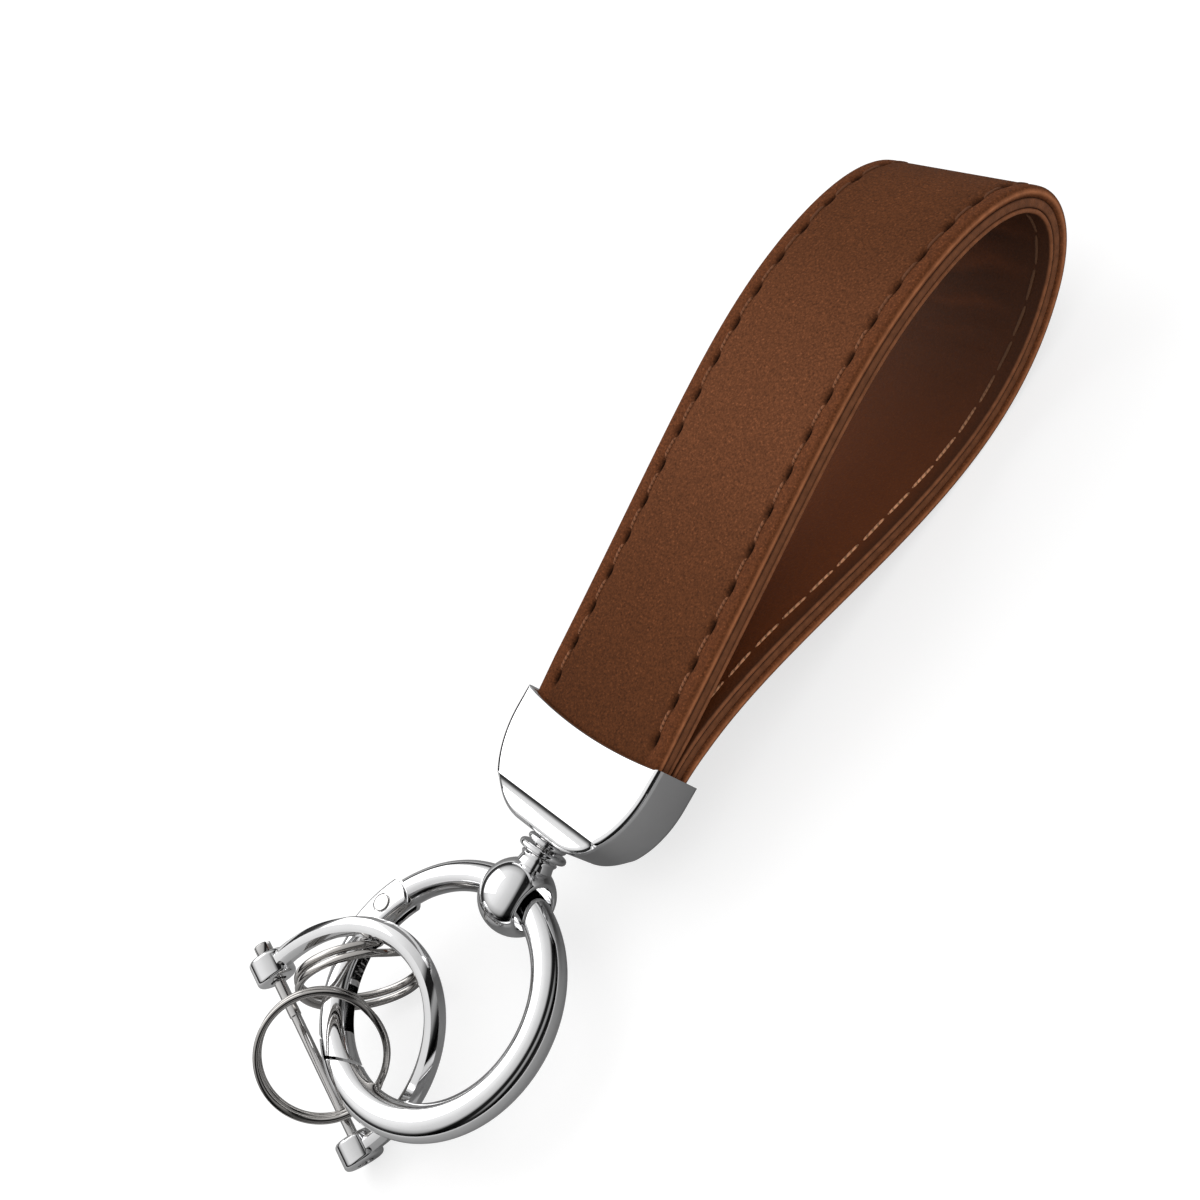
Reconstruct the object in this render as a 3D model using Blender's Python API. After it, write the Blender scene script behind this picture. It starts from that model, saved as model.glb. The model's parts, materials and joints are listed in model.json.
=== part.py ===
"""Keychain lanyard: a folded leather strap in a chrome cap, a ball swivel,
a spring-gate ring, a screw-pin shackle and two split rings.

The object lies on its back on z = 0, with the strap's length along Y, its
width along X and its broad front face up. Sizes are in metres.
"""

import math

import bmesh
import bpy
from mathutils import Matrix, Vector
from mathutils.geometry import interpolate_bezier

MM = 0.001
DEGREE = math.pi / 180.0
FULL_TURN = 2.0 * math.pi
SHARP_ANGLE = 35.0 * DEGREE

# Shared clearances
CLEARANCE = 0.3 * MM
CUT_OVERRUN = 1.0 * MM
RIM_BEVEL = 0.35 * MM
SMALL_BEVEL = 0.15 * MM
MERGE_DISTANCE = 0.01 * MM

# How the object lies: the strap's loop rests on its back leg, so the cap end tips down
REST_TILT = 9.05 * DEGREE

# Leather strap, folded into a loop that is open sideways
STRAP_WIDTH = 25.0 * MM
STRAP_THICKNESS = 3.4 * MM
STRAP_END_THICKNESS = 3.0 * MM
STRAP_PARE_LENGTH = 5.0 * MM
STRAP_INSERT_DEPTH = 5.5 * MM
LOOP_LENGTH = 85.0 * MM
LOOP_STATIONS = 76
BEZIER_POINTS = 60
OUTER_THICKNESS_SHARE = 0.45
CORE_THICKNESS_SHARE = 0.15
CORE_WIDTH_SHARE = 0.94
LINING_WIDTH_SHARE = 0.985
EDGE_ROUND_SHARE = 0.3

# Side view of the loop: knots and handles as shares of the loop's length, directions from +Y
FRONT_SHOULDER_SHARES = (0.822, 0.0394)
BACK_SHOULDER_SHARES = (0.919, -0.2059)
FRONT_END_DIRECTION = 3.97 * DEGREE
FRONT_SHOULDER_DIRECTION = -15.45 * DEGREE
BACK_SHOULDER_DIRECTION = -154.4 * DEGREE
BACK_END_DIRECTION = 180.0 * DEGREE
FRONT_LEG_HANDLE_SHARES = (0.452, 0.212)
TOP_HANDLE_SHARES = (0.222, 0.133)
BACK_LEG_HANDLE_SHARES = (0.333, 0.271)

# Chrome cap that grips both ends of the strap
CAP_HEIGHT = 15.2 * MM
CAP_SIDE_WALL = 0.95 * MM
CAP_FACE_WALL = 0.65 * MM
CAP_TOP_SAG = 1.2 * MM
CAP_STRAIGHT_SIDE = 3.0 * MM
CAP_FLAT_BOTTOM = 8.5 * MM
CAP_CREASE_DEPTH = 11.8 * MM
CAP_CREASE_SLOPE = 10.0 * DEGREE
CAP_POCKET_DEPTH = STRAP_INSERT_DEPTH + 2.0 * CLEARANCE
CAP_WELL_WIDTH = 7.4 * MM
CAP_WELL_DEPTH = 9.2 * MM
CAP_CORNER_STEPS = 14
CAP_TOP_STEPS = 12

# Pins that lock the strap's ends in the cap, pressed in from the back
RETAINING_PIN_RADIUS = 1.0 * MM
RETAINING_PIN_SPACING = 0.64 * STRAP_WIDTH
RETAINING_PIN_DEPTH = 3.3 * MM
RETAINING_PIN_SINK = 0.2 * MM
RETAINING_PIN_SLOT = 0.5 * MM

# Swivel: a rivet turns in the cap, and the ball is fixed on its end
RIVET_RADIUS = 1.3 * MM
RIVET_HEAD_RADIUS = 2.4 * MM
RIVET_HEAD_THICKNESS = 1.2 * MM
RIVET_HOLD_LENGTH = 1.9 * MM
COLLAR_RADIUS = 2.7 * MM
COLLAR_THICKNESS = 0.8 * MM
FLANGE_RADIUS = 3.3 * MM
FLANGE_THICKNESS = 0.9 * MM
NECK_RADIUS = 2.5 * MM
NECK_WAIST_RADIUS = 2.3 * MM
BALL_RADIUS = 5.05 * MM
NECK_LENGTH = 0.85 * MM
BALL_HOLE_RADIUS = 3.05 * MM
BALL_HOLE_FLARE = 0.35 * MM
BALL_TURN = 5.5 * DEGREE
LATHE_STEPS = 36
SMALL_PIN_STEPS = 16

# Gate ring: a round tube that is thickest opposite its gate
RING_RADIUS = 15.65 * MM
RING_TUBE_RADIUS = 1.95 * MM
RING_TUBE_SWELL = 0.38 * MM
RING_SWELL_ANGLE = 237.0 * DEGREE
RING_SWELL_SHARPNESS = 0.5
RING_SEAT_OFFSET = 0.27 * MM
RING_PITCH = -10.5 * DEGREE
RING_YAW = -2.75 * DEGREE
RING_STEPS = 90
RING_SIDES = 14

# Hinge of the gate; angles run round the ring from the ball
HINGE_ANGLE = 78.0 * DEGREE
KNUCKLE_RADIUS = 3.5 * MM
KNUCKLE_HALF_DEPTH = 2.0 * MM
KNUCKLE_HALF_WIDTH = 2.2 * MM
KNUCKLE_REACH = 17.0 * DEGREE
KNUCKLE_SQUARENESS = 5.0
TONGUE_THICKNESS = 1.5 * MM
TONGUE_END_RADIUS = 2.05 * MM
GATE_PIN_RADIUS = 1.15 * MM
GATE_PIN_PROUD = 0.15 * MM
GATE_PIN_STEPS = 24

# Free end of the gate: it stops under a lip and its joint is slanted so that it swings inwards
NOSE_ANGLE = 157.0 * DEGREE
NOSE_LIP_LENGTH = 8.0 * DEGREE
NOSE_LIP_THICKNESS = 0.95 * MM
NOSE_SLANT = 47.0 * DEGREE
ARC_STEP = 5.0 * DEGREE

# Channel along the gate's inner side, with the spring and its plunger
CHANNEL_WEB = 0.82 * MM
CHANNEL_STOP_ANGLE = 118.0 * DEGREE
CHANNEL_STOP_LENGTH = 3.0 * DEGREE
CHANNEL_END_ANGLE = 147.0 * DEGREE
PLUNGER_RADIUS = 0.5 * MM
PLUNGER_COLLAR_RADIUS = 0.75 * MM
PLUNGER_LENGTH = 2.6 * MM
PLUNGER_COLLAR_THICKNESS = 0.6 * MM
SPRING_RADIUS = 0.62 * MM
SPRING_WIRE_RADIUS = 0.14 * MM
SPRING_PITCH = 0.8 * MM
SPRING_CURL_POINTS = 9

# Shackle: a bow with two ears and a screw pin across them
BOW_HALF_WIDTH = 13.26 * MM
BOW_REACH = 19.46 * MM
BOW_HALF_ANGLE = 99.0 * DEGREE
BOW_DEPTH = 2.4 * MM
BOW_WIDTH = 2.8 * MM
BOW_CORNER = 0.7 * MM
BOW_STEPS = 48
EAR_RADIUS = 2.7 * MM
EAR_LENGTH = 3.7 * MM
SCREW_RADIUS = 0.8 * MM
SCREW_THIN_RADIUS = 0.68 * MM
SCREW_THICK_LENGTH = 9.0 * MM
SCREW_HEAD_RADIUS = 1.15 * MM
SCREW_HEAD_LENGTH = 1.4 * MM
SCREW_SLOT = 0.45 * MM
EAR_STEPS = 28
SCREW_STEPS = 20
SHACKLE_HANG_ANGLE = 146.0 * DEGREE
SHACKLE_OUTWARD_SHARE = 0.113
SHACKLE_HEIGHT_SHARE = -0.071
SHACKLE_TURN = (21.1 * DEGREE, -17.2 * DEGREE, 62.0 * DEGREE)

# Split rings: two turns of flat wire with a short crossover
SPLIT_RADIUS = 8.1 * MM
SPLIT_WIRE_WIDTH = 1.2 * MM
SPLIT_WIRE_HEIGHT = 0.85 * MM
SPLIT_COIL_GAP = 0.42 * MM
SPLIT_WIRE_CORNER = 0.22 * MM
SPLIT_CROSSOVER = 30.0 * DEGREE
SPLIT_STEPS = 44
FRONT_SPLIT_HANG_ANGLE = 155.2 * DEGREE
FRONT_SPLIT_OUTWARD_SHARE = 0.153
FRONT_SPLIT_HEIGHT_SHARE = 0.258
FRONT_SPLIT_TURN = (40.9 * DEGREE, 21.9 * DEGREE, 59.7 * DEGREE)
REAR_SPLIT_CROWN_SHARE = 1.6122
REAR_SPLIT_SIDE_SHARE = 0.6944
REAR_SPLIT_HEIGHT_SHARE = -0.4846
REAR_SPLIT_TURN = (69.43 * DEGREE, 6.69 * DEGREE, -8.82 * DEGREE)

# Sizes that follow from the ones above
LEG_OFFSET = (STRAP_END_THICKNESS + CLEARANCE) / 2.0
CAP_THICKNESS = 2.0 * (STRAP_END_THICKNESS + CAP_FACE_WALL) + 3.0 * CLEARANCE
CAP_WIDTH = STRAP_WIDTH + 2.0 * (CLEARANCE + CAP_SIDE_WALL)
COLLAR_TOP = CAP_HEIGHT + CLEARANCE
FLANGE_TOP = COLLAR_TOP + COLLAR_THICKNESS + CLEARANCE
NECK_TOP = FLANGE_TOP + FLANGE_THICKNESS + CLEARANCE
BALL_CENTRE = NECK_TOP + NECK_LENGTH + BALL_RADIUS
RIVET_HEAD_SEAT = CAP_WELL_DEPTH - CLEARANCE
RIVET_END = NECK_TOP + RIVET_HOLD_LENGTH
SLOT_HALF = TONGUE_THICKNESS / 2.0 + CLEARANCE
CUT_INNER_RADIUS = RING_RADIUS - 2.0 * RING_TUBE_RADIUS
CUT_OUTER_RADIUS = RING_RADIUS + 2.0 * RING_TUBE_RADIUS
CUT_HALF_HEIGHT = RING_TUBE_RADIUS + RING_TUBE_SWELL + CUT_OVERRUN
SPLIT_PITCH = SPLIT_WIRE_HEIGHT + SPLIT_COIL_GAP


def clear_scene():
    """Remove every object that the file holds."""
    for item in list(bpy.data.objects):
        bpy.data.objects.remove(item, do_unlink=True)


def make_material(name, color, roughness, metallic):
    """A Principled material with the part's own colour and finish."""
    material = bpy.data.materials.new(name)
    material.use_nodes = True
    shader = material.node_tree.nodes["Principled BSDF"]
    shader.inputs["Base Color"].default_value = (*color, 1.0)
    shader.inputs["Roughness"].default_value = roughness
    shader.inputs["Metallic"].default_value = metallic
    material.diffuse_color = (*color, 1.0)
    return material


def make_empty(name, parent, location=(0.0, 0.0, 0.0), rotation=(0.0, 0.0, 0.0), order="XYZ"):
    """A frame that pieces hang from."""
    empty = bpy.data.objects.new(name, None)
    empty.rotation_mode = order
    empty.location = location
    empty.rotation_euler = rotation
    empty.parent = parent
    bpy.context.scene.collection.objects.link(empty)
    return empty


def make_object(name, shape, parent, material=None):
    """Turn a bmesh into an object with outward faces and smooth round sides."""
    bmesh.ops.recalc_face_normals(shape, faces=shape.faces)
    mesh = bpy.data.meshes.new(name)
    shape.to_mesh(mesh)
    shape.free()
    mesh.shade_smooth()
    mesh.set_sharp_from_angle(angle=SHARP_ANGLE)
    item = bpy.data.objects.new(name, mesh)
    item.parent = parent
    bpy.context.scene.collection.objects.link(item)
    if material is not None:
        mesh.materials.append(material)
    return item


def make_cutter(name, shape, parent):
    """A shape that only cuts others."""
    cutter = make_object("cutter_" + name, shape, parent)
    cutter.hide_render = True
    cutter.display_type = "WIRE"
    return cutter


def combine(item, other, operation="DIFFERENCE"):
    """Cut, join or intersect one object with another."""
    modifier = item.modifiers.new(operation.title() + " " + other.name, "BOOLEAN")
    modifier.operation = operation
    modifier.object = other


def bevel(item, width, segments=2, angle=40.0 * DEGREE):
    """Round the sharp edges of an object."""
    modifier = item.modifiers.new("Rim", "BEVEL")
    modifier.width = width
    modifier.segments = segments
    modifier.limit_method = "ANGLE"
    modifier.angle_limit = angle


def prism(outline, low, high):
    """Extrude a closed outline in the XY plane from one height to another."""
    shape = bmesh.new()
    base = [shape.verts.new((x, y, low)) for x, y in outline]
    face = shape.faces.new(base)
    raised = bmesh.ops.extrude_face_region(shape, geom=[face])
    tops = [part for part in raised["geom"] if isinstance(part, bmesh.types.BMVert)]
    bmesh.ops.translate(shape, verts=tops, vec=(0.0, 0.0, high - low))
    return shape


def lathe(profile, steps=LATHE_STEPS):
    """Spin a closed profile of (radius, height) points round the Z axis."""
    shape = bmesh.new()
    verts = [shape.verts.new((radius, 0.0, height)) for radius, height in profile]
    edges = [shape.edges.new(pair) for pair in zip(verts, verts[1:])]
    if profile[0][0] > 0.0:
        edges.append(shape.edges.new((verts[-1], verts[0])))
    bmesh.ops.spin(shape, geom=verts + edges, axis=(0, 0, 1), cent=(0, 0, 0), dvec=(0, 0, 0),
                   angle=FULL_TURN, steps=steps, use_merge=True, use_duplicate=False)
    bmesh.ops.remove_doubles(shape, verts=shape.verts, dist=MERGE_DISTANCE)
    return shape


def turned(shape, matrix):
    """Move a bmesh by a matrix."""
    bmesh.ops.transform(shape, matrix=matrix, verts=shape.verts)
    return shape


def along_y(shape):
    """Lay a turned shape along -Y, so that its height runs away from the strap."""
    return turned(shape, Matrix.Rotation(math.pi / 2.0, 4, "X"))


def cylinder(radius, low, high, steps=LATHE_STEPS):
    """A plain round bar along Z."""
    return lathe([(0.0, low), (radius, low), (radius, high), (0.0, high)], steps)


def washer(inner, outer, low, high, corner, steps=LATHE_STEPS):
    """A flat ring with rounded outer corners."""
    profile = [(inner, low), (outer - corner, low), (outer, low + corner),
               (outer, high - corner), (outer - corner, high), (inner, high)]
    return lathe(profile, steps)


def loft(rings, closed):
    """Skin rings of points, with flat ends unless the skin closes on itself."""
    shape = bmesh.new()
    loops = [[shape.verts.new(point) for point in ring] for ring in rings]
    pairs = list(zip(loops, loops[1:]))
    if closed:
        pairs.append((loops[-1], loops[0]))
    for first, second in pairs:
        for i in range(len(first)):
            j = (i + 1) % len(first)
            shape.faces.new((first[i], first[j], second[j], second[i]))
    if not closed:
        shape.faces.new(reversed(loops[0]))
        shape.faces.new(loops[-1])
    return shape


def rounded_rectangle(width, height, corner):
    """Eight points of a rectangle with cut corners."""
    x, y = width / 2.0, height / 2.0
    return [(x, corner - y), (x, y - corner), (x - corner, y), (corner - x, y),
            (-x, y - corner), (-x, corner - y), (corner - x, -y), (x - corner, -y)]


def arc_points(centre, radius, start, end, step=ARC_STEP):
    """Points on an arc from one angle to another, both ends included."""
    count = max(1, round(abs(end - start) / step))
    angles = [start + (end - start) * i / count for i in range(count + 1)]
    return [(centre[0] + radius * math.cos(a), centre[1] + radius * math.sin(a)) for a in angles]


def build_loop_path():
    """Centre line of the strap in side view, as (y, z) points and their outward normals."""
    def place(shares):
        return Vector((shares[0] * LOOP_LENGTH, shares[1] * LOOP_LENGTH))

    def heading(angle):
        return Vector((math.cos(angle), math.sin(angle)))

    knots = [Vector((0.0, LEG_OFFSET)), place(FRONT_SHOULDER_SHARES),
             place(BACK_SHOULDER_SHARES), Vector((0.0, -LEG_OFFSET))]
    headings = [heading(FRONT_END_DIRECTION), heading(FRONT_SHOULDER_DIRECTION),
                heading(BACK_SHOULDER_DIRECTION), heading(BACK_END_DIRECTION)]
    handle_pairs = [FRONT_LEG_HANDLE_SHARES, TOP_HANDLE_SHARES, BACK_LEG_HANDLE_SHARES]
    dense = []
    for i, (leave, arrive) in enumerate(handle_pairs):
        first = knots[i] + headings[i] * leave * LOOP_LENGTH
        second = knots[i + 1] - headings[i + 1] * arrive * LOOP_LENGTH
        piece = interpolate_bezier(knots[i], first, second, knots[i + 1], BEZIER_POINTS)
        dense += piece if not dense else piece[1:]
    dense = [Vector(point[:2]) for point in dense]
    lengths = [0.0]
    for first, second in zip(dense, dense[1:]):
        lengths.append(lengths[-1] + (second - first).length)
    path = []
    index = 0
    for step in range(LOOP_STATIONS):
        target = lengths[-1] * step / (LOOP_STATIONS - 1)
        while index < len(dense) - 2 and lengths[index + 1] < target:
            index += 1
        span = lengths[index + 1] - lengths[index]
        point = dense[index].lerp(dense[index + 1], (target - lengths[index]) / span)
        path.append((target, point))
    total = lengths[-1]
    stations = []
    for i, (travel, point) in enumerate(path):
        before = path[max(i - 1, 0)][1]
        after = path[min(i + 1, len(path) - 1)][1]
        tangent = (after - before).normalized()
        normal = Vector((-tangent.y, tangent.x))
        end_distance = min(travel, total - travel)
        fade = min(1.0, end_distance / STRAP_PARE_LENGTH)
        thickness = STRAP_END_THICKNESS + (STRAP_THICKNESS - STRAP_END_THICKNESS) * fade
        stations.append((point, normal, thickness))
    first_point, last_point = stations[0][0], stations[-1][0]
    insert = Vector((-STRAP_INSERT_DEPTH, 0.0))
    up = Vector((0.0, 1.0))
    stations[0] = (first_point, up, STRAP_END_THICKNESS)
    stations[-1] = (last_point, -up, STRAP_END_THICKNESS)
    stations.insert(0, (first_point + insert, up, STRAP_END_THICKNESS))
    stations.append((last_point + insert, -up, STRAP_END_THICKNESS))
    return stations


def build_strap_layer(stations, layer):
    """One leather layer of the band; the layers are counted from the outer face inwards."""
    shares = (OUTER_THICKNESS_SHARE, CORE_THICKNESS_SHARE,
              1.0 - OUTER_THICKNESS_SHARE - CORE_THICKNESS_SHARE)
    width = STRAP_WIDTH * (1.0, CORE_WIDTH_SHARE, LINING_WIDTH_SHARE)[layer]
    rings = []
    for point, normal, thickness in stations:
        leather = thickness - 2.0 * CLEARANCE
        top = thickness / 2.0 - sum(shares[:layer]) * leather - layer * CLEARANCE
        height = shares[layer] * leather
        corner = height * EDGE_ROUND_SHARE
        middle = top - height / 2.0
        ring = []
        for x, offset in rounded_rectangle(width, height, corner):
            place = point + normal * (middle + offset)
            ring.append((x, place.x, place.y))
        rings.append(ring)
    return loft(rings, closed=False)


def build_strap(parent, leather, lining, board):
    """Outer leather, stiffening core and lining, locked by the retaining pins."""
    stations = build_loop_path()
    names = ("strap_outer", "strap_core", "strap_lining")
    materials = (leather, board, lining)
    layers = []
    for index, (name, material) in enumerate(zip(names, materials)):
        layers.append(make_object(name, build_strap_layer(stations, index), parent, material))
    return layers


def retaining_pin_places():
    """Centres of the two retaining pins in the cap's plane."""
    half = RETAINING_PIN_SPACING / 2.0
    return [(-half, -RETAINING_PIN_DEPTH), (half, -RETAINING_PIN_DEPTH)]


def build_retaining_pins(parent, layers, cap, steel):
    """Two slotted pins, with holes for them in the cap's back and in both legs."""
    back = -CAP_THICKNESS / 2.0
    tip = CAP_THICKNESS / 2.0 - CAP_FACE_WALL - 2.0 * CLEARANCE
    hole_tip = tip + CLEARANCE
    hole_radius = RETAINING_PIN_RADIUS + CLEARANCE
    for side, (x, y) in zip(("left", "right"), retaining_pin_places()):
        place = Matrix.Translation((x, y, 0.0))
        hole = turned(cylinder(hole_radius, back - CUT_OVERRUN, hole_tip, SMALL_PIN_STEPS), place)
        cutter = make_cutter("pin_hole_" + side, hole, parent)
        for item in layers + [cap]:
            combine(item, cutter)
        body = turned(cylinder(RETAINING_PIN_RADIUS, back + RETAINING_PIN_SINK, tip, SMALL_PIN_STEPS), place)
        pin = make_object("retaining_pin_" + side, body, parent, steel)
        half_slot = RETAINING_PIN_SLOT / 2.0
        reach = RETAINING_PIN_RADIUS + CUT_OVERRUN
        outline = [(-reach, -half_slot), (reach, -half_slot), (reach, half_slot), (-reach, half_slot)]
        floor = back + RETAINING_PIN_SINK + RETAINING_PIN_SLOT
        slot = turned(prism(outline, back - CUT_OVERRUN, floor), place)
        combine(pin, make_cutter("pin_slot_" + side, slot, parent))


def cap_outline():
    """Front view of the cap: hollowed top edge, straight sides, elliptic lower corners."""
    half = CAP_WIDTH / 2.0
    flat = CAP_FLAT_BOTTOM / 2.0
    corner_height = CAP_HEIGHT - CAP_STRAIGHT_SIDE
    right = []
    for step in range(CAP_CORNER_STEPS + 1):
        angle = math.pi / 2.0 * step / CAP_CORNER_STEPS
        x = flat + (half - flat) * math.cos(angle)
        y = -CAP_STRAIGHT_SIDE - corner_height * math.sin(angle)
        right.append((x, y))
    top = []
    for step in range(CAP_TOP_STEPS + 1):
        share = 2.0 * step / CAP_TOP_STEPS - 1.0
        top.append((half * share, -CAP_TOP_SAG * (1.0 - share * share)))
    left = [(-x, y) for x, y in reversed(right)]
    return top + right + left


def build_cap(parent, chrome):
    """Cap with a pocket for the strap, a well for the rivet's head and the swivel hole."""
    half = CAP_THICKNESS / 2.0
    shape = prism(cap_outline(), -half, half)
    for side in (1.0, -1.0):
        normal = Vector((0.0, -math.sin(CAP_CREASE_SLOPE), side * math.cos(CAP_CREASE_SLOPE)))
        geometry = shape.verts[:] + shape.edges[:] + shape.faces[:]
        cut = bmesh.ops.bisect_plane(shape, geom=geometry, plane_co=(0.0, -CAP_CREASE_DEPTH, side * half),
                                     plane_no=normal, clear_outer=True)
        rim = [part for part in cut["geom_cut"] if isinstance(part, bmesh.types.BMEdge)]
        bmesh.ops.contextual_create(shape, geom=rim)
    cap = make_object("cap_shell", shape, parent, chrome)
    bevel(cap, RIM_BEVEL)
    pocket_half = STRAP_WIDTH / 2.0 + CLEARANCE
    pocket_depth = half - CAP_FACE_WALL
    pocket = prism([(-pocket_half, -CAP_POCKET_DEPTH), (pocket_half, -CAP_POCKET_DEPTH),
                    (pocket_half, CUT_OVERRUN), (-pocket_half, CUT_OVERRUN)], -pocket_depth, pocket_depth)
    combine(cap, make_cutter("cap_pocket", pocket, parent))
    well_half = CAP_WELL_WIDTH / 2.0
    well = prism([(-well_half, -CAP_WELL_DEPTH), (well_half, -CAP_WELL_DEPTH),
                  (well_half, -CAP_POCKET_DEPTH + CUT_OVERRUN),
                  (-well_half, -CAP_POCKET_DEPTH + CUT_OVERRUN)], -pocket_depth, pocket_depth)
    combine(cap, make_cutter("cap_well", well, parent))
    bore = along_y(cylinder(RIVET_RADIUS + CLEARANCE, CAP_WELL_DEPTH - CUT_OVERRUN,
                            CAP_HEIGHT + CUT_OVERRUN))
    combine(cap, make_cutter("cap_bore", bore, parent))
    return cap


def build_swivel(parent, ball_frame, chrome, steel):
    """Collar under the cap, flange, the ball with its neck, and the rivet that holds them."""
    inner = RIVET_RADIUS + CLEARANCE
    collar = along_y(washer(inner, COLLAR_RADIUS, COLLAR_TOP, COLLAR_TOP + COLLAR_THICKNESS, SMALL_BEVEL))
    make_object("swivel_collar", collar, parent, chrome)
    flange_low = FLANGE_TOP - BALL_CENTRE
    flange = along_y(washer(inner, FLANGE_RADIUS, flange_low, flange_low + FLANGE_THICKNESS, RIM_BEVEL))
    make_object("swivel_flange", flange, ball_frame, chrome)

    neck_low = NECK_TOP - BALL_CENTRE
    meet = -math.sqrt(BALL_RADIUS ** 2 - NECK_RADIUS ** 2)
    profile = [(0.0, neck_low), (NECK_RADIUS - SMALL_BEVEL, neck_low),
               (NECK_RADIUS, neck_low + SMALL_BEVEL), (NECK_RADIUS, neck_low + NECK_LENGTH / 3.0),
               (NECK_WAIST_RADIUS, (neck_low + meet) / 2.0)]
    start = math.acos(-meet / BALL_RADIUS)
    rows = LATHE_STEPS // 2
    for row in range(rows + 1):
        angle = start + (math.pi - start) * row / rows
        profile.append((BALL_RADIUS * math.sin(angle), -BALL_RADIUS * math.cos(angle)))
    profile[-1] = (0.0, BALL_RADIUS)
    ball = make_object("swivel_ball", along_y(lathe(profile)), ball_frame, chrome)
    flare = BALL_HOLE_RADIUS + BALL_HOLE_FLARE
    rim = math.sqrt(BALL_RADIUS ** 2 - flare ** 2)
    reach = BALL_RADIUS + CUT_OVERRUN
    wide = flare + (reach - rim)
    narrow = rim - BALL_HOLE_FLARE
    hole = lathe([(0.0, -reach), (wide, -reach), (BALL_HOLE_RADIUS, -narrow),
                  (BALL_HOLE_RADIUS, narrow), (wide, reach), (0.0, reach)])
    hole = turned(hole, Matrix.Rotation(math.pi / 2.0, 4, "Y"))
    combine(ball, make_cutter("ball_hole", hole, ball_frame))
    bore = along_y(cylinder(inner, neck_low - CUT_OVERRUN, RIVET_END + CLEARANCE - BALL_CENTRE))
    combine(ball, make_cutter("rivet_bore", bore, ball_frame))

    head_low = RIVET_HEAD_SEAT - RIVET_HEAD_THICKNESS - BALL_CENTRE
    head_high = RIVET_HEAD_SEAT - BALL_CENTRE
    rivet = lathe([(0.0, head_low), (RIVET_HEAD_RADIUS - RIM_BEVEL, head_low),
                   (RIVET_HEAD_RADIUS, head_low + RIM_BEVEL), (RIVET_HEAD_RADIUS, head_high),
                   (RIVET_RADIUS, head_high), (RIVET_RADIUS, RIVET_END - BALL_CENTRE),
                   (0.0, RIVET_END - BALL_CENTRE)])
    make_object("swivel_rivet", along_y(rivet), ball_frame, steel)


def ring_place(angle, radius=RING_RADIUS, height=0.0):
    """A point round the gate ring; angle 0 is at the ball."""
    return Vector((-math.sin(angle) * radius, math.cos(angle) * radius, height))


def ring_tube_radius(angle):
    """The tube swells opposite the gate."""
    wave = (1.0 + math.cos(angle - RING_SWELL_ANGLE)) / 2.0
    return RING_TUBE_RADIUS + RING_TUBE_SWELL * wave ** RING_SWELL_SHARPNESS


def superellipse(angle, half_x, half_y, squareness):
    """A point on an oval that turns squarer as its power grows."""
    c, s = math.cos(angle), math.sin(angle)
    power = 2.0 / squareness
    return (math.copysign(abs(c) ** power * half_x, c), math.copysign(abs(s) ** power * half_y, s))


def build_ring_tube(with_knuckle):
    """The whole ring, with the square hinge block of the gate if asked for."""
    rings = []
    for step in range(RING_STEPS):
        angle = FULL_TURN * step / RING_STEPS
        half_x = half_y = ring_tube_radius(angle)
        squareness = 2.0
        if with_knuckle and abs(angle - HINGE_ANGLE) <= KNUCKLE_REACH:
            half_x, half_y = KNUCKLE_HALF_WIDTH, KNUCKLE_HALF_DEPTH
            squareness = KNUCKLE_SQUARENESS
        ring = []
        for side in range(RING_SIDES):
            turn = FULL_TURN * (side + 0.5) / RING_SIDES
            out, up = superellipse(turn, half_x, half_y, squareness)
            ring.append(ring_place(angle, RING_RADIUS + out, up))
        rings.append(ring)
    return loft(rings, closed=True)


def hinge_arc(radius, ball_side):
    """Half circle round the hinge, from its outer to its inner point, on either side."""
    centre = ring_place(HINGE_ANGLE)
    outward = HINGE_ANGLE + math.pi / 2.0
    sweep = -math.pi if ball_side else math.pi
    return arc_points(centre, radius, outward, outward + sweep, 2.0 * ARC_STEP)


def band_points(radius, start, end):
    """Points round the ring at one radius."""
    return arc_points((0.0, 0.0), radius, start + math.pi / 2.0, end + math.pi / 2.0)


def nose_points(gap):
    """Joint between gate and ring, from the outer side inwards; a gap draws it back."""
    lip_radius = RING_RADIUS + ring_tube_radius(NOSE_ANGLE) - NOSE_LIP_THICKNESS - gap
    backward = gap / RING_RADIUS
    lip_start = NOSE_ANGLE - NOSE_LIP_LENGTH - backward
    lip_end = NOSE_ANGLE - backward
    depth = lip_radius - CUT_INNER_RADIUS
    drift = depth * math.tan(NOSE_SLANT) / RING_RADIUS
    lip_drift = (CUT_OUTER_RADIUS - lip_radius) * math.tan(NOSE_SLANT) / RING_RADIUS
    points = [ring_place(lip_start - lip_drift, CUT_OUTER_RADIUS), ring_place(lip_start, lip_radius),
              ring_place(lip_end, lip_radius), ring_place(lip_end + drift, CUT_INNER_RADIUS)]
    return [(point.x, point.y) for point in points], lip_start - lip_drift, lip_end + drift


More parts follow.
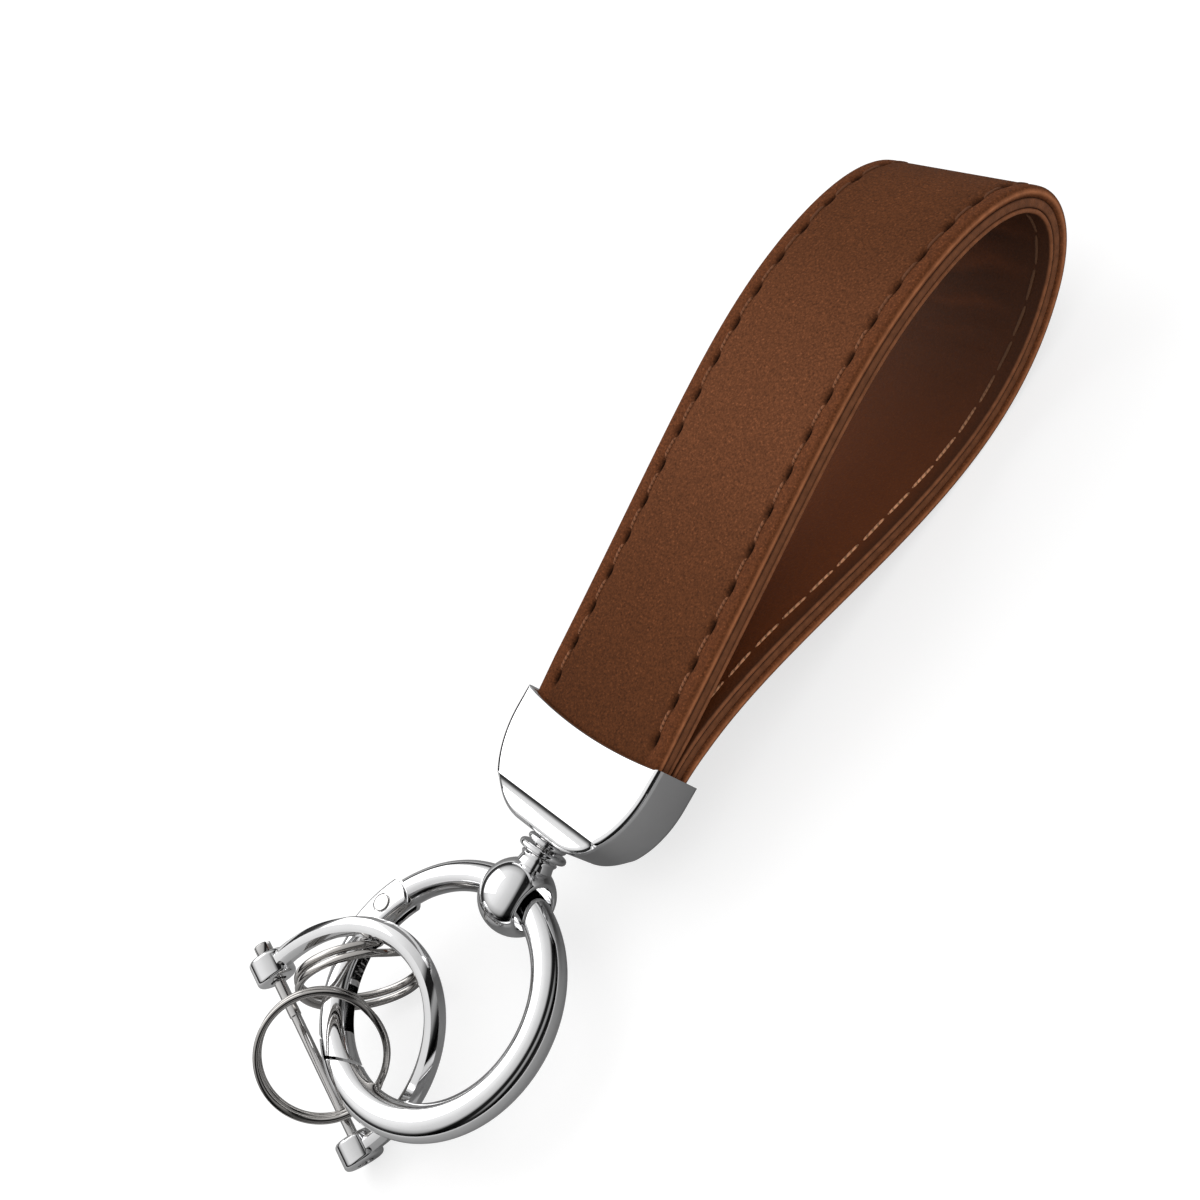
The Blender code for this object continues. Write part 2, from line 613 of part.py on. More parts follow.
def build_gate_ring(ring_frame, hinge_frame, chrome, steel):
    """Ring body with its tongue and nose, the gate, and the pin between them."""
    top = CUT_HALF_HEIGHT
    half_tongue = TONGUE_THICKNESS / 2.0
    body = make_object("ring_body", build_ring_tube(False), ring_frame, chrome)

    knuckle_room = KNUCKLE_RADIUS + CLEARANCE
    full_arc = arc_points(ring_place(HINGE_ANGLE), knuckle_room, 0.0, FULL_TURN, 2.0 * ARC_STEP)[:-1]
    combine(body, make_cutter("knuckle_top", prism(full_arc, half_tongue, top), ring_frame))
    combine(body, make_cutter("knuckle_bottom", prism(full_arc, -top, -half_tongue), ring_frame))

    nose, lip_start, inner_end = nose_points(0.0)
    mouth = hinge_arc(TONGUE_END_RADIUS, ball_side=False)
    mouth += band_points(CUT_INNER_RADIUS, HINGE_ANGLE, inner_end)[:-1]
    mouth += list(reversed(nose))
    mouth += band_points(CUT_OUTER_RADIUS, lip_start, HINGE_ANGLE)[1:]
    combine(body, make_cutter("gate_mouth", prism(mouth, -top, top), ring_frame))

    gate_tube = turned(build_ring_tube(True), Matrix.Translation(-ring_place(HINGE_ANGLE)))
    gate = make_object("gate", gate_tube, hinge_frame, chrome)
    nose, lip_start, inner_end = nose_points(CLEARANCE)
    blank = hinge_arc(KNUCKLE_RADIUS, ball_side=True)
    blank += band_points(CUT_INNER_RADIUS, HINGE_ANGLE, inner_end)[:-1]
    blank += list(reversed(nose))
    blank += band_points(CUT_OUTER_RADIUS, lip_start, HINGE_ANGLE)[1:]
    combine(gate, make_cutter("gate_blank", prism(blank, -top, top), ring_frame), "INTERSECT")

    slot_arc = hinge_arc(KNUCKLE_RADIUS + CUT_OVERRUN, ball_side=True)
    slot_arc += list(reversed(hinge_arc(TONGUE_END_RADIUS + CLEARANCE, ball_side=False)))
    combine(gate, make_cutter("gate_fork", prism(slot_arc, -SLOT_HALF, SLOT_HALF), ring_frame))
    web_radius = RING_RADIUS + RING_TUBE_RADIUS - CHANNEL_WEB
    stop_end = CHANNEL_STOP_ANGLE + CHANNEL_STOP_LENGTH
    spans = {"spring_channel": (HINGE_ANGLE, CHANNEL_STOP_ANGLE),
             "nose_channel": (stop_end, CHANNEL_END_ANGLE)}
    for name, (start, end) in spans.items():
        outline = band_points(web_radius, start, end) + band_points(CUT_INNER_RADIUS, end, start)
        combine(gate, make_cutter(name, prism(outline, -SLOT_HALF, SLOT_HALF), ring_frame))

    hole = cylinder(GATE_PIN_RADIUS + CLEARANCE, -top, top, GATE_PIN_STEPS)
    cutter = make_cutter("gate_pin_hole", hole, hinge_frame)
    combine(gate, cutter)
    combine(body, cutter)
    end = KNUCKLE_HALF_DEPTH + GATE_PIN_PROUD
    crown = GATE_PIN_RADIUS - GATE_PIN_PROUD
    pin = lathe([(0.0, -end), (crown, -end), (GATE_PIN_RADIUS, -KNUCKLE_HALF_DEPTH),
                 (GATE_PIN_RADIUS, KNUCKLE_HALF_DEPTH), (crown, end), (0.0, end)], GATE_PIN_STEPS)
    make_object("gate_pin", turned(pin, Matrix.Translation(ring_place(HINGE_ANGLE))), ring_frame, steel)


def channel_frame(angle):
    """Frame in the gate's channel at one angle, with Z along the ring and X outwards."""
    along = Vector((-math.cos(angle), -math.sin(angle), 0.0))
    outward = ring_place(angle, 1.0)
    up = along.cross(outward)
    matrix = Matrix((outward, up, along)).transposed().to_4x4()
    return Matrix.Translation(ring_place(angle) - ring_place(HINGE_ANGLE)) @ matrix


def build_gate_spring(hinge_frame, steel):
    """Plunger on the tongue's end and the coil spring behind it, along the channel."""
    plunger_start = HINGE_ANGLE + (TONGUE_END_RADIUS + CLEARANCE) / RING_RADIUS
    shaft = PLUNGER_LENGTH - PLUNGER_COLLAR_THICKNESS
    profile = [(0.0, 0.0), (PLUNGER_RADIUS, 0.0), (PLUNGER_RADIUS, shaft),
               (PLUNGER_COLLAR_RADIUS, shaft), (PLUNGER_COLLAR_RADIUS, PLUNGER_LENGTH), (0.0, PLUNGER_LENGTH)]
    half_span = PLUNGER_LENGTH / 2.0 / RING_RADIUS
    place = channel_frame(plunger_start + half_span) @ Matrix.Translation((0.0, 0.0, -PLUNGER_LENGTH / 2.0))
    plunger = turned(lathe(profile, SMALL_PIN_STEPS), place)
    make_object("gate_plunger", plunger, hinge_frame, steel)

    coil_start = plunger_start + (PLUNGER_LENGTH + CLEARANCE + SPRING_WIRE_RADIUS) / RING_RADIUS
    coil_end = CHANNEL_STOP_ANGLE - (CLEARANCE + SPRING_WIRE_RADIUS) / RING_RADIUS
    lead = 2.0 * SPRING_WIRE_RADIUS / RING_RADIUS
    length = (coil_end - coil_start - 2.0 * lead) * RING_RADIUS
    curls = max(2, round(length / SPRING_PITCH))
    count = curls * SPRING_CURL_POINTS
    start = Vector((SPRING_RADIUS, 0.0, 0.0))
    points = [channel_frame(coil_start) @ start]
    for step in range(count + 1):
        angle = coil_start + lead + (coil_end - coil_start - 2.0 * lead) * step / count
        turn = FULL_TURN * step / SPRING_CURL_POINTS
        around = Vector((math.cos(turn), math.sin(turn), 0.0)) * SPRING_RADIUS
        points.append(channel_frame(angle) @ around)
    points.append(channel_frame(coil_end) @ start)
    print("least gap between spring curls, mm:", round(least_gap(points, SPRING_CURL_POINTS) / MM, 3))
    curve = bpy.data.curves.new("gate_spring", "CURVE")
    curve.dimensions = "3D"
    curve.bevel_depth = SPRING_WIRE_RADIUS
    curve.bevel_resolution = 1
    curve.render_resolution_u = 0
    curve.use_fill_caps = True
    spline = curve.splines.new("POLY")
    spline.points.add(len(points) - 1)
    for target, point in zip(spline.points, points):
        target.co = (*point, 1.0)
    spring = bpy.data.objects.new("gate_spring", curve)
    spring.parent = hinge_frame
    spring.data.materials.append(steel)
    bpy.context.scene.collection.objects.link(spring)


def least_gap(points, curl_points):
    """Least clear distance between one curl of the wire and the next ones."""
    skip = curl_points - curl_points // 3
    nearest = min((points[j] - points[i]).length
                  for i in range(len(points)) for j in range(i + skip, len(points)))
    return nearest - 2.0 * SPRING_WIRE_RADIUS


def bow_place(angle):
    """A point of the bow's centre line, which is part of an oval."""
    return Vector((BOW_REACH * math.cos(angle), BOW_HALF_WIDTH * math.sin(angle)))


def build_shackle(shackle_frame, screw_frame, chrome, steel):
    """Bow with its ears, and the slotted screw pin across them."""
    section = rounded_rectangle(BOW_DEPTH, BOW_WIDTH, BOW_CORNER)
    rings = []
    for step in range(BOW_STEPS + 1):
        angle = BOW_HALF_ANGLE * (2.0 * step / BOW_STEPS - 1.0)
        middle = bow_place(angle)
        normal = Vector((BOW_HALF_WIDTH * math.cos(angle), BOW_REACH * math.sin(angle))).normalized()
        rings.append([(middle.x + normal.x * out, middle.y + normal.y * out, up) for out, up in section])
    bow = make_object("shackle_bow", loft(rings, closed=False), shackle_frame, chrome)
    pin_x, ear_y = bow_place(BOW_HALF_ANGLE)
    half = EAR_LENGTH / 2.0
    corner = RIM_BEVEL
    for side, name in ((1.0, "head"), (-1.0, "thread")):
        profile = [(0.0, -half), (EAR_RADIUS - corner, -half), (EAR_RADIUS, corner - half),
                   (EAR_RADIUS, half - corner), (EAR_RADIUS - corner, half), (0.0, half)]
        place = Matrix.Translation((pin_x, side * ear_y, 0.0))
        ear = turned(along_y(lathe(profile, EAR_STEPS)), place)
        combine(bow, make_cutter("ear_" + name, ear, shackle_frame), "UNION")
    hole = cylinder(SCREW_RADIUS + CLEARANCE, -ear_y - EAR_LENGTH, ear_y + EAR_LENGTH, SCREW_STEPS)
    hole = turned(along_y(hole), Matrix.Translation((pin_x, 0.0, 0.0)))
    combine(bow, make_cutter("screw_hole", hole, shackle_frame))

    head_low = half + CLEARANCE
    head_high = head_low + SCREW_HEAD_LENGTH
    shoulder = half - SCREW_THICK_LENGTH
    tip = half + SMALL_BEVEL - 2.0 * ear_y - EAR_LENGTH
    profile = [(0.0, tip), (SCREW_THIN_RADIUS - SMALL_BEVEL, tip), (SCREW_THIN_RADIUS, tip + SMALL_BEVEL),
               (SCREW_THIN_RADIUS, shoulder - SMALL_BEVEL), (SCREW_RADIUS, shoulder),
               (SCREW_RADIUS, head_low), (SCREW_HEAD_RADIUS, head_low),
               (SCREW_HEAD_RADIUS, head_high - SMALL_BEVEL), (SCREW_HEAD_RADIUS - SMALL_BEVEL, head_high),
               (0.0, head_high)]
    body = turned(lathe(profile, SCREW_STEPS), Matrix.Rotation(-math.pi / 2.0, 4, "X"))
    screw = make_object("shackle_screw", body, screw_frame, steel)
    reach = SCREW_HEAD_RADIUS + CUT_OVERRUN
    half_slot = SCREW_SLOT / 2.0
    outline = [(-reach, -half_slot), (reach, -half_slot), (reach, half_slot), (-reach, half_slot)]
    slot = prism(outline, head_high - SCREW_SLOT, head_high + CUT_OVERRUN)
    slot = turned(slot, Matrix.Rotation(-math.pi / 2.0, 4, "X"))
    combine(screw, make_cutter("screw_slot", slot, screw_frame))


def build_split_ring(name, frame, steel):
    """Two turns of flat wire; each turn lies flat, and one short crossover joins them."""
    section = rounded_rectangle(SPLIT_WIRE_WIDTH, SPLIT_WIRE_HEIGHT, SPLIT_WIRE_CORNER)
    start = SPLIT_CROSSOVER
    end = 2.0 * FULL_TURN - SPLIT_CROSSOVER
    steps = round((end - start) / FULL_TURN * SPLIT_STEPS)
    rings = []
    for step in range(steps + 1):
        angle = start + (end - start) * step / steps
        climb = (angle - (FULL_TURN - SPLIT_CROSSOVER)) / (2.0 * SPLIT_CROSSOVER)
        climb = min(1.0, max(0.0, climb))
        ease = climb * climb * (3.0 - 2.0 * climb)
        height = SPLIT_PITCH * (ease - 0.5)
        rings.append([(math.cos(angle) * (SPLIT_RADIUS + out), math.sin(angle) * (SPLIT_RADIUS + out),
                       height + up) for out, up in section])
    make_object(name, loft(rings, closed=False), frame, steel)


def hang_frame(name, ring_frame, angle, outward, height, turn):
    """Frame of a piece that hangs on the ring's tube."""
    return make_empty(name, ring_frame, ring_place(angle, RING_RADIUS + outward, height), turn)


def settle_on_floor(stand):
    """Set the whole object on z = 0, centred over the origin."""
    bpy.context.view_layer.update()
    graph = bpy.context.evaluated_depsgraph_get()
    points = []
    for item in bpy.data.objects:
        if item.type in {"MESH", "CURVE"} and not item.hide_render:
            seen = item.evaluated_get(graph)
            mesh = seen.to_mesh()
            points += [seen.matrix_world @ vertex.co for vertex in mesh.vertices]
            seen.to_mesh_clear()
    low = [min(point[axis] for point in points) for axis in range(3)]
    high = [max(point[axis] for point in points) for axis in range(3)]
    stand.location = (-(low[0] + high[0]) / 2.0, -(low[1] + high[1]) / 2.0, -low[2])
    bpy.context.view_layer.update()


def main():
    """Build every piece and set the object down."""
    clear_scene()
    leather = make_material("brown_leather", (0.13, 0.05, 0.023), 0.85, 0.0)
    lining = make_material("dark_lining", (0.045, 0.014, 0.007), 0.7, 0.0)
    board = make_material("leather_board", (0.16, 0.1, 0.06), 0.9, 0.0)
    chrome = make_material("polished_chrome", (0.83, 0.83, 0.84), 0.08, 1.0)
    steel = make_material("bright_steel", (0.7, 0.7, 0.71), 0.2, 1.0)

    stand = make_empty("stand", None, rotation=(REST_TILT, 0.0, 0.0))
    layers = build_strap(stand, leather, lining, board)
    cap = build_cap(stand, chrome)
    build_retaining_pins(stand, layers, cap, steel)

    ball_frame = make_empty("ball_frame", stand, (0.0, -BALL_CENTRE, 0.0), (0.0, BALL_TURN, 0.0))
    build_swivel(stand, ball_frame, chrome, steel)

    swing_frame = make_empty("swing_frame", ball_frame, rotation=(RING_PITCH, 0.0, RING_YAW), order="ZXY")
    centre = (0.0, RING_SEAT_OFFSET - RING_RADIUS, 0.0)
    ring_frame = make_empty("ring_frame", swing_frame, centre)
    hinge_frame = make_empty("hinge_frame", ring_frame, ring_place(HINGE_ANGLE))
    build_gate_ring(ring_frame, hinge_frame, chrome, steel)
    build_gate_spring(hinge_frame, steel)

    shackle_frame = hang_frame("shackle_frame", ring_frame, SHACKLE_HANG_ANGLE,
                               SHACKLE_OUTWARD_SHARE * BOW_REACH, SHACKLE_HEIGHT_SHARE * BOW_REACH,
                               SHACKLE_TURN)
    screw_frame = make_empty("screw_frame", shackle_frame, bow_place(BOW_HALF_ANGLE).to_3d())
    build_shackle(shackle_frame, screw_frame, chrome, steel)

    front_frame = hang_frame("front_split_frame", ring_frame, FRONT_SPLIT_HANG_ANGLE,
                             FRONT_SPLIT_OUTWARD_SHARE * SPLIT_RADIUS,
                             FRONT_SPLIT_HEIGHT_SHARE * SPLIT_RADIUS, FRONT_SPLIT_TURN)
    rear_place = (BOW_REACH - REAR_SPLIT_CROWN_SHARE * SPLIT_RADIUS,
                  REAR_SPLIT_SIDE_SHARE * SPLIT_RADIUS, REAR_SPLIT_HEIGHT_SHARE * SPLIT_RADIUS)
    rear_frame = make_empty("rear_split_frame", shackle_frame, rear_place, REAR_SPLIT_TURN)
    build_split_ring("split_ring_front", front_frame, steel)
    build_split_ring("split_ring_rear", rear_frame, steel)
    settle_on_floor(stand)


main()
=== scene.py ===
"""Looks of the keychain lanyard: leather strap, stitching, polished metal and the stage.

The pieces are shaped in the strap's own frame, in metres, and then set in
place: X runs across the strap, Y from the cap's mouth to the loop, Z out of
the strap's broad front face. The origin is the middle of the cap's mouth.
"""

import json
import math

import bmesh
import bpy
from mathutils import Matrix, Vector
from mathutils.geometry import interpolate_bezier


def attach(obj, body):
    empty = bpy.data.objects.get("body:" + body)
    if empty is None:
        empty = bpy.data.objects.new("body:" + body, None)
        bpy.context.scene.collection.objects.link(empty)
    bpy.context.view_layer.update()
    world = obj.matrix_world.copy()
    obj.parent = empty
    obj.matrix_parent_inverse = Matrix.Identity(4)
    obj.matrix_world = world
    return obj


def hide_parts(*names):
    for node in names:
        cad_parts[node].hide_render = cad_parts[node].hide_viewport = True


bl_info = {
    "name": "Keychain Lanyard",
    "version": (1, 0, 0),
    "blender": (4, 5, 0),
    "location": "View3D > Sidebar > Lanyard",
    "description": "Dresses a keychain lanyard in stitched leather and polished metal",
    "category": "Object",
}

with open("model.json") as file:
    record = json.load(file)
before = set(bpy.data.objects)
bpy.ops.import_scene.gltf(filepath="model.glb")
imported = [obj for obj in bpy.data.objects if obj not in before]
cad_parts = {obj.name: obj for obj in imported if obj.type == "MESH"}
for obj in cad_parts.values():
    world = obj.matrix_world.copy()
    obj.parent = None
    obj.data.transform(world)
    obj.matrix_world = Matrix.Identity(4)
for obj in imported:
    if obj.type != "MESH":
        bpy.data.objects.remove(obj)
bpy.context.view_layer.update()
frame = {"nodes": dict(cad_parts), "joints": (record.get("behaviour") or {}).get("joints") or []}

MM = 0.001
DEGREE = math.pi / 180.0
FULL_TURN = 2.0 * math.pi
QUARTER_TURN = math.pi / 2.0
TOLERANCE = 0.001 * MM
OVERRUN = 1.0 * MM

# Fineness of arcs, and the angles past which an edge is rounded or shaded as sharp
ARC_STEP = 2.5 * DEGREE
GLOBE_STEP = 4.0 * DEGREE
HINGE_STEP = 5.0 * DEGREE
LIP_STEP = 12.0 * DEGREE
ROUND_STEP = 15.0 * DEGREE
LEATHER_SHARP_ANGLE = 60.0 * DEGREE
WIRE_SHARP_ANGLE = 50.0 * DEGREE
METAL_SHARP_ANGLE = 40.0 * DEGREE
SPUN_SHARP_ANGLE = 35.0 * DEGREE
BOW_ROUND_ANGLE = 30.0 * DEGREE
CAP_ROUND_ANGLE = 20.0 * DEGREE
CAP_SHARP_ANGLE = 14.0 * DEGREE
FLAT_WEIGHT = 60

# Where the strap's frame lies: the swivel's axis is its Y axis and passes the ball's centre
JOINTS = {joint["name"]: joint for joint in frame["joints"]}
BALL_CENTRE = 23.7 * MM
BALL_POINT = Vector(JOINTS["swivel_spin"]["pos_m"])
STRAP_AXIS = Vector(JOINTS["swivel_spin"]["axis"]).normalized()

# Leather strap
STRAP_WIDTH = 25.0 * MM
STRAP_THICKNESS = 3.4 * MM
STRAP_END_THICKNESS = 3.0 * MM
STRAP_PARE_LENGTH = 5.0 * MM
STRAP_INSERT_DEPTH = 5.5 * MM
STRAP_LAYER_GAP = 0.3 * MM
STRAP_STATION_STEP = 0.5 * MM
STITCHED_FACE_STEPS = 64
PLAIN_FACE_STEPS = 12
BACK_FACE_STEPS = 10
LAYER_SIDE_STEPS = 10

# Centre line of the loop, from the front leg's end round to the back leg's: the places of both
# shoulders and the reach of the handles, as shares of its length, and the four directions
LOOP_LENGTH = 85.0 * MM
LEG_OFFSET = (STRAP_END_THICKNESS + STRAP_LAYER_GAP) / 2.0
SHOULDER_SHARES = ((0.822, 0.0394), (0.919, -0.2059))
HANDLE_SHARES = ((0.452, 0.212), (0.222, 0.133), (0.333, 0.271))
KNOT_DIRECTIONS = (3.97 * DEGREE, -15.45 * DEGREE, -154.4 * DEGREE, 180.0 * DEGREE)
BEZIER_POINTS = 200

# Layers of the strap: outer leather, core and lining, as shares of its thickness and width
LAYER_SPANS = ((0.0, 0.425), (0.42, 0.8), (0.795, 1.0))
LAYER_WIDTH_SHARES = (1.0, 0.985, 0.99)
LAYER_EDGE_ROUNDS = (0.5 * MM, 0.2 * MM, 0.45 * MM)
STITCHED_SIDES = (1.0, 0.0, -1.0)
# Edge paint of each layer; the outer layer's is brightened into a painted highlight
EDGE_PAINT_AND_HIGHLIGHT_FACTORS = (1.8, 0.78, 1.05)
LINING_MARGIN_FACTOR = 0.9
LINING_MOTTLE = 0.35
LINING_GLOSS = 0.1
# Shares at each point: margin, edge paint with painted highlight and groove shade, painted shade of
# needle holes, painted light
LAYER_ATTRIBUTES = ("margin_share", "edge_paint_and_highlight_share", "hole_shade_share", "painted_light_share")
# Width of the painted highlight along the middle of the outer layer's edge
HIGHLIGHT_RIDGE_WIDTH_SHARE = 0.2
# Painted shade in the grooves where the layers meet: edge paint gives way to the darker core and lining
# colours at their rims
SHADED_GROOVE_WIDTH_SHARE = 0.1
# Painted light: paler outer leather halfway up each leg, places and reach as shares of the visible
# length
LIT_PATCH_SHARES = (0.24, 0.76)
LIT_PATCH_REACH_SHARE = 0.12
MARGIN_BLEND = 0.3 * MM
MARGIN_PUFF = 0.05 * MM
MARGIN_PUFF_WIDTH = 0.7 * MM

# Creases inside the bend: their place and reach are shares of the lining's visible length
WRINKLE_CENTRE_SHARE = 0.53
WRINKLE_REACH_SHARE = 0.1
WRINKLE_WIDTH_SHARE = 0.3
WRINKLE_DEPTH = 0.4 * MM
# Painted highlight on the crests of the creases
WRINKLE_CREST_HIGHLIGHT = 0.35
WRINKLE_RATE = 210.0
WRINKLE_SLANT = 0.5
WRINKLE_SLANT_RATE = 0.55
WRINKLE_SWAY = 0.8
WRINKLE_SWAY_RATE = 63.0
WRINKLE_OVERTONE = 2.3
WRINKLE_OVERTONE_SLANT = 0.3
# Reach of the dark middle of the bend, left as painted shade; the lining beyond it takes a painted sheen
SHADED_BEND_REACH_SHARE = 0.2

# Stitches
SEAM_GROOVE_WIDTH = 0.55 * MM
SEAM_GROOVE_DEPTH = 0.12 * MM
HOLE_WIDTH = 0.3 * MM
HOLE_GAIN = 1.5
OUTER_HOLE_LENGTH = 0.95 * MM
INNER_HOLE_LENGTH = 0.5 * MM
OUTER_THREAD_GAP = 0.95 * MM
INNER_THREAD_GAP = 0.12 * MM
OUTER_THREAD_DIVE = 0.34 * MM
INNER_THREAD_DIVE = 0.12 * MM
THREAD_LEAN = 0.09 * MM
THREAD_SINK = 0.06 * MM
THREAD_LEAN_RATE = 17.0
THREAD_WIDENING = 1.15
THREAD_END_POWER = 6
THREAD_DIVE_POWER = 5
THREAD_STEPS = (10, 12)
# Painted shade on the thread towards the bend: how dark outside and inside, and where along the loop it
# runs
OUTER_BEND_SHADE_FACTOR = 0.55
INNER_BEND_SHADE_FACTOR = 0.18
BEND_SHADE_SPAN_SHARES = (0.6, 0.82)

# Cap
CAP_HEIGHT = 15.2 * MM
CAP_WIDTH = 27.5 * MM
CAP_THICKNESS = 8.2 * MM
CAP_TOP_SAG = 1.2 * MM
CAP_STRAIGHT_SIDE = 3.0 * MM
CAP_FLAT_BOTTOM = 8.5 * MM
CAP_CREASE_DEPTH = 11.8 * MM
CAP_FACE_WALL = 0.65 * MM
CAP_POCKET_DEPTH = 6.1 * MM
CAP_CORNER_STEPS = 40
CAP_TOP_STEPS = 24
CAP_RIM_CHAMFER = 0.85 * MM
CAP_MOUTH_CHAMFER = 0.45 * MM
CAP_RIM_ROUND = 0.05 * MM
# Slope in degrees of the face from each distance in mm below the crease
CAP_CREASE_SLOPES = ((0.0, 45.0), (0.09, 34.0), (0.17, 27.0), (0.4, 20.0), (0.75, 13.0), (1.3, 7.0))

# Swivel
COLLAR_RADIUS = 2.7 * MM
COLLAR_LOW = 15.5 * MM
COLLAR_THICKNESS = 0.8 * MM
FLANGE_RADIUS = 3.3 * MM
FLANGE_LOW = 16.6 * MM
FLANGE_THICKNESS = 0.9 * MM
NECK_LOW = 17.8 * MM
NECK_RADIUS = 2.5 * MM
NECK_WAIST_RADIUS = 2.3 * MM
NECK_RIM = 0.3 * MM
NECK_WAIST_LOW = 0.62 * MM
NECK_WAIST_HIGH = 0.8 * MM
NECK_FLARE = 0.1 * MM
NECK_FLARE_LENGTH = 0.45 * MM
NECK_SINK = 0.6 * MM
RIVET_HOLE_RADIUS = 1.6 * MM
BALL_RADIUS = 5.05 * MM
BALL_HOLE_RADIUS = 3.05 * MM
BALL_LIP_ROUND = 0.42 * MM
BALL_TURN = 5.5 * DEGREE

# Gate ring
RING_RADIUS = 15.65 * MM
RING_TUBE_RADIUS = 1.95 * MM
RING_TUBE_SWELL = 0.38 * MM
RING_SWELL_ANGLE = 237.0 * DEGREE
RING_SWELL_SHARPNESS = 0.5
RING_STEPS = (40, 288)
RING_SEAT_OFFSET = 0.27 * MM
RING_PITCH = -10.5 * DEGREE
RING_YAW = -2.75 * DEGREE
HINGE_ANGLE = 78.0 * DEGREE
KNUCKLE_RADIUS = 3.5 * MM
KNUCKLE_HALF_DEPTH = 2.0 * MM
KNUCKLE_HALF_WIDTH = 2.2 * MM
KNUCKLE_REACH = 17.0 * DEGREE
KNUCKLE_BLEND = 3.0 * DEGREE
KNUCKLE_SQUARENESS = 5.0
TONGUE_THICKNESS = 1.5 * MM
TONGUE_END_RADIUS = 2.05 * MM
GATE_PIN_RADIUS = 1.15 * MM
GATE_PIN_PROUD = 0.15 * MM
GATE_PIN_CROWN = 0.04 * MM
PIN_GROOVE_WIDTH = 0.2 * MM
PIN_GROOVE_DEPTH = 0.35 * MM
PIN_BORE_GAP = 0.05 * MM
RUNNING_GAP = 0.3 * MM
NOSE_ANGLE = 157.0 * DEGREE
NOSE_LIP_LENGTH = 8.0 * DEGREE
NOSE_LIP_THICKNESS = 0.95 * MM
NOSE_SLANT = 47.0 * DEGREE
CHANNEL_WEB = 0.82 * MM
CHANNEL_STOP_ANGLE = 118.0 * DEGREE
CHANNEL_STOP_LENGTH = 3.0 * DEGREE
CHANNEL_END_ANGLE = 147.0 * DEGREE
METAL_EDGE_ROUND = 0.18 * MM

# Shackle
BOW_HALF_WIDTH = 13.26 * MM
BOW_REACH = 19.46 * MM
BOW_HALF_ANGLE = 99.0 * DEGREE
BOW_DEPTH = 2.4 * MM
BOW_WIDTH = 2.8 * MM
BOW_CORNER = 0.7 * MM
BOW_STEPS = 160
EAR_RADIUS = 2.7 * MM
EAR_LENGTH = 3.7 * MM
SCREW_RADIUS = 0.8 * MM
SCREW_THIN_RADIUS = 0.68 * MM
SCREW_THICK_LENGTH = 9.0 * MM
SCREW_HEAD_RADIUS = 1.15 * MM
SCREW_HEAD_LENGTH = 1.4 * MM
SCREW_SLOT = 0.45 * MM
SCREW_EDGE_ROUND = 0.05 * MM
SMALL_ROUND = 0.15 * MM
EAR_ROUND = 0.6 * MM
SHACKLE_HANG_ANGLE = 146.0 * DEGREE
SHACKLE_OUTWARD_SHARE = 0.113
SHACKLE_HEIGHT_SHARE = -0.071
SHACKLE_TURN = (21.1 * DEGREE, -17.2 * DEGREE, 62.0 * DEGREE)

# Split rings
SPLIT_RADIUS = 8.1 * MM
SPLIT_WIRE_WIDTH = 0.92 * MM
SPLIT_WIRE_HEIGHT = 0.95 * MM
SPLIT_COIL_GAP = 0.32 * MM
SPLIT_WIRE_CORNER = 0.32 * MM
SPLIT_CROSSOVER = 30.0 * DEGREE
SPLIT_POINT_LENGTH = 14.0 * DEGREE
SPLIT_POINT_WIDTH_SHARE = 0.25
SPLIT_POINT_HEIGHT_SHARE = 0.35
SPLIT_POINT_BLUNTNESS = 0.7
SPLIT_STEPS = 420
FRONT_SPLIT_PLACE = (155.2 * DEGREE, 0.153, 0.258)
FRONT_SPLIT_TURN = (40.9 * DEGREE, 21.9 * DEGREE, 59.7 * DEGREE)
REAR_SPLIT_PLACE = (114.6 * DEGREE, -0.199, -0.130)
REAR_SPLIT_TURN = (92.3 * DEGREE, -7.7 * DEGREE, 56.2 * DEGREE)

# Grain of the leather, and how much it, painted light, the margin and painted shade in holes change the
# colour
CLOUD_SIZE = 22.0 * MM
CLOUD_AMOUNT = 0.13
NAP_SIZE = 0.36 * MM
NAP_DEPTH = 0.12 * MM
NAP_AMOUNT = 0.28
SPECK_SIZE = 0.26 * MM
SPECK_AMOUNT = 0.7
PIT_AMOUNT = 0.35
PORE_SIZE = 0.5 * MM
PORE_DEPTH = 0.05 * MM
STREAK_SIZE = 1.3 * MM
STREAK_FACTORS = (0.8, 1.15)
PAINTED_LIGHT_AMOUNT = 0.85
MARGIN_AMOUNT = 0.7
# Painted shade in the needle holes
HOLE_SHADE_FACTOR = 0.06

# Plies and dirt of the thread; PLY_WAVE_SHARE over the ply's width is the wave's scale
PLY_WIDTH = 0.4 * MM
PLY_DEPTH = 0.05 * MM
# Painted shade in the gaps between plies, lighter on their crests
PLY_SHADE_FACTORS = (0.4, 1.2)
PLY_WAVE_SHARE = 0.32
DIRT_SIZE = 1.2 * MM
DIRT_AMOUNT = 0.5
DIRT_FACTOR = 0.6

# Dull patches and hairline wear of the metal, and the floor's grain
PATCH_SIZE = 4.0 * MM
PATCH_DEPTH = 0.02 * MM
PATCH_TINT_FACTOR = 0.82
PATCH_ROUGH_FACTOR = 2.2
HAIR_SIZE = 0.35 * MM
HAIR_DEPTH = 0.0012 * MM
HAIR_STRETCH = (1.0, 9.0, 1.0)
HAIR_ROUGH_FACTOR = 1.2
PAPER_GRAIN = 0.6 * MM
PAPER_FACTOR = 0.985

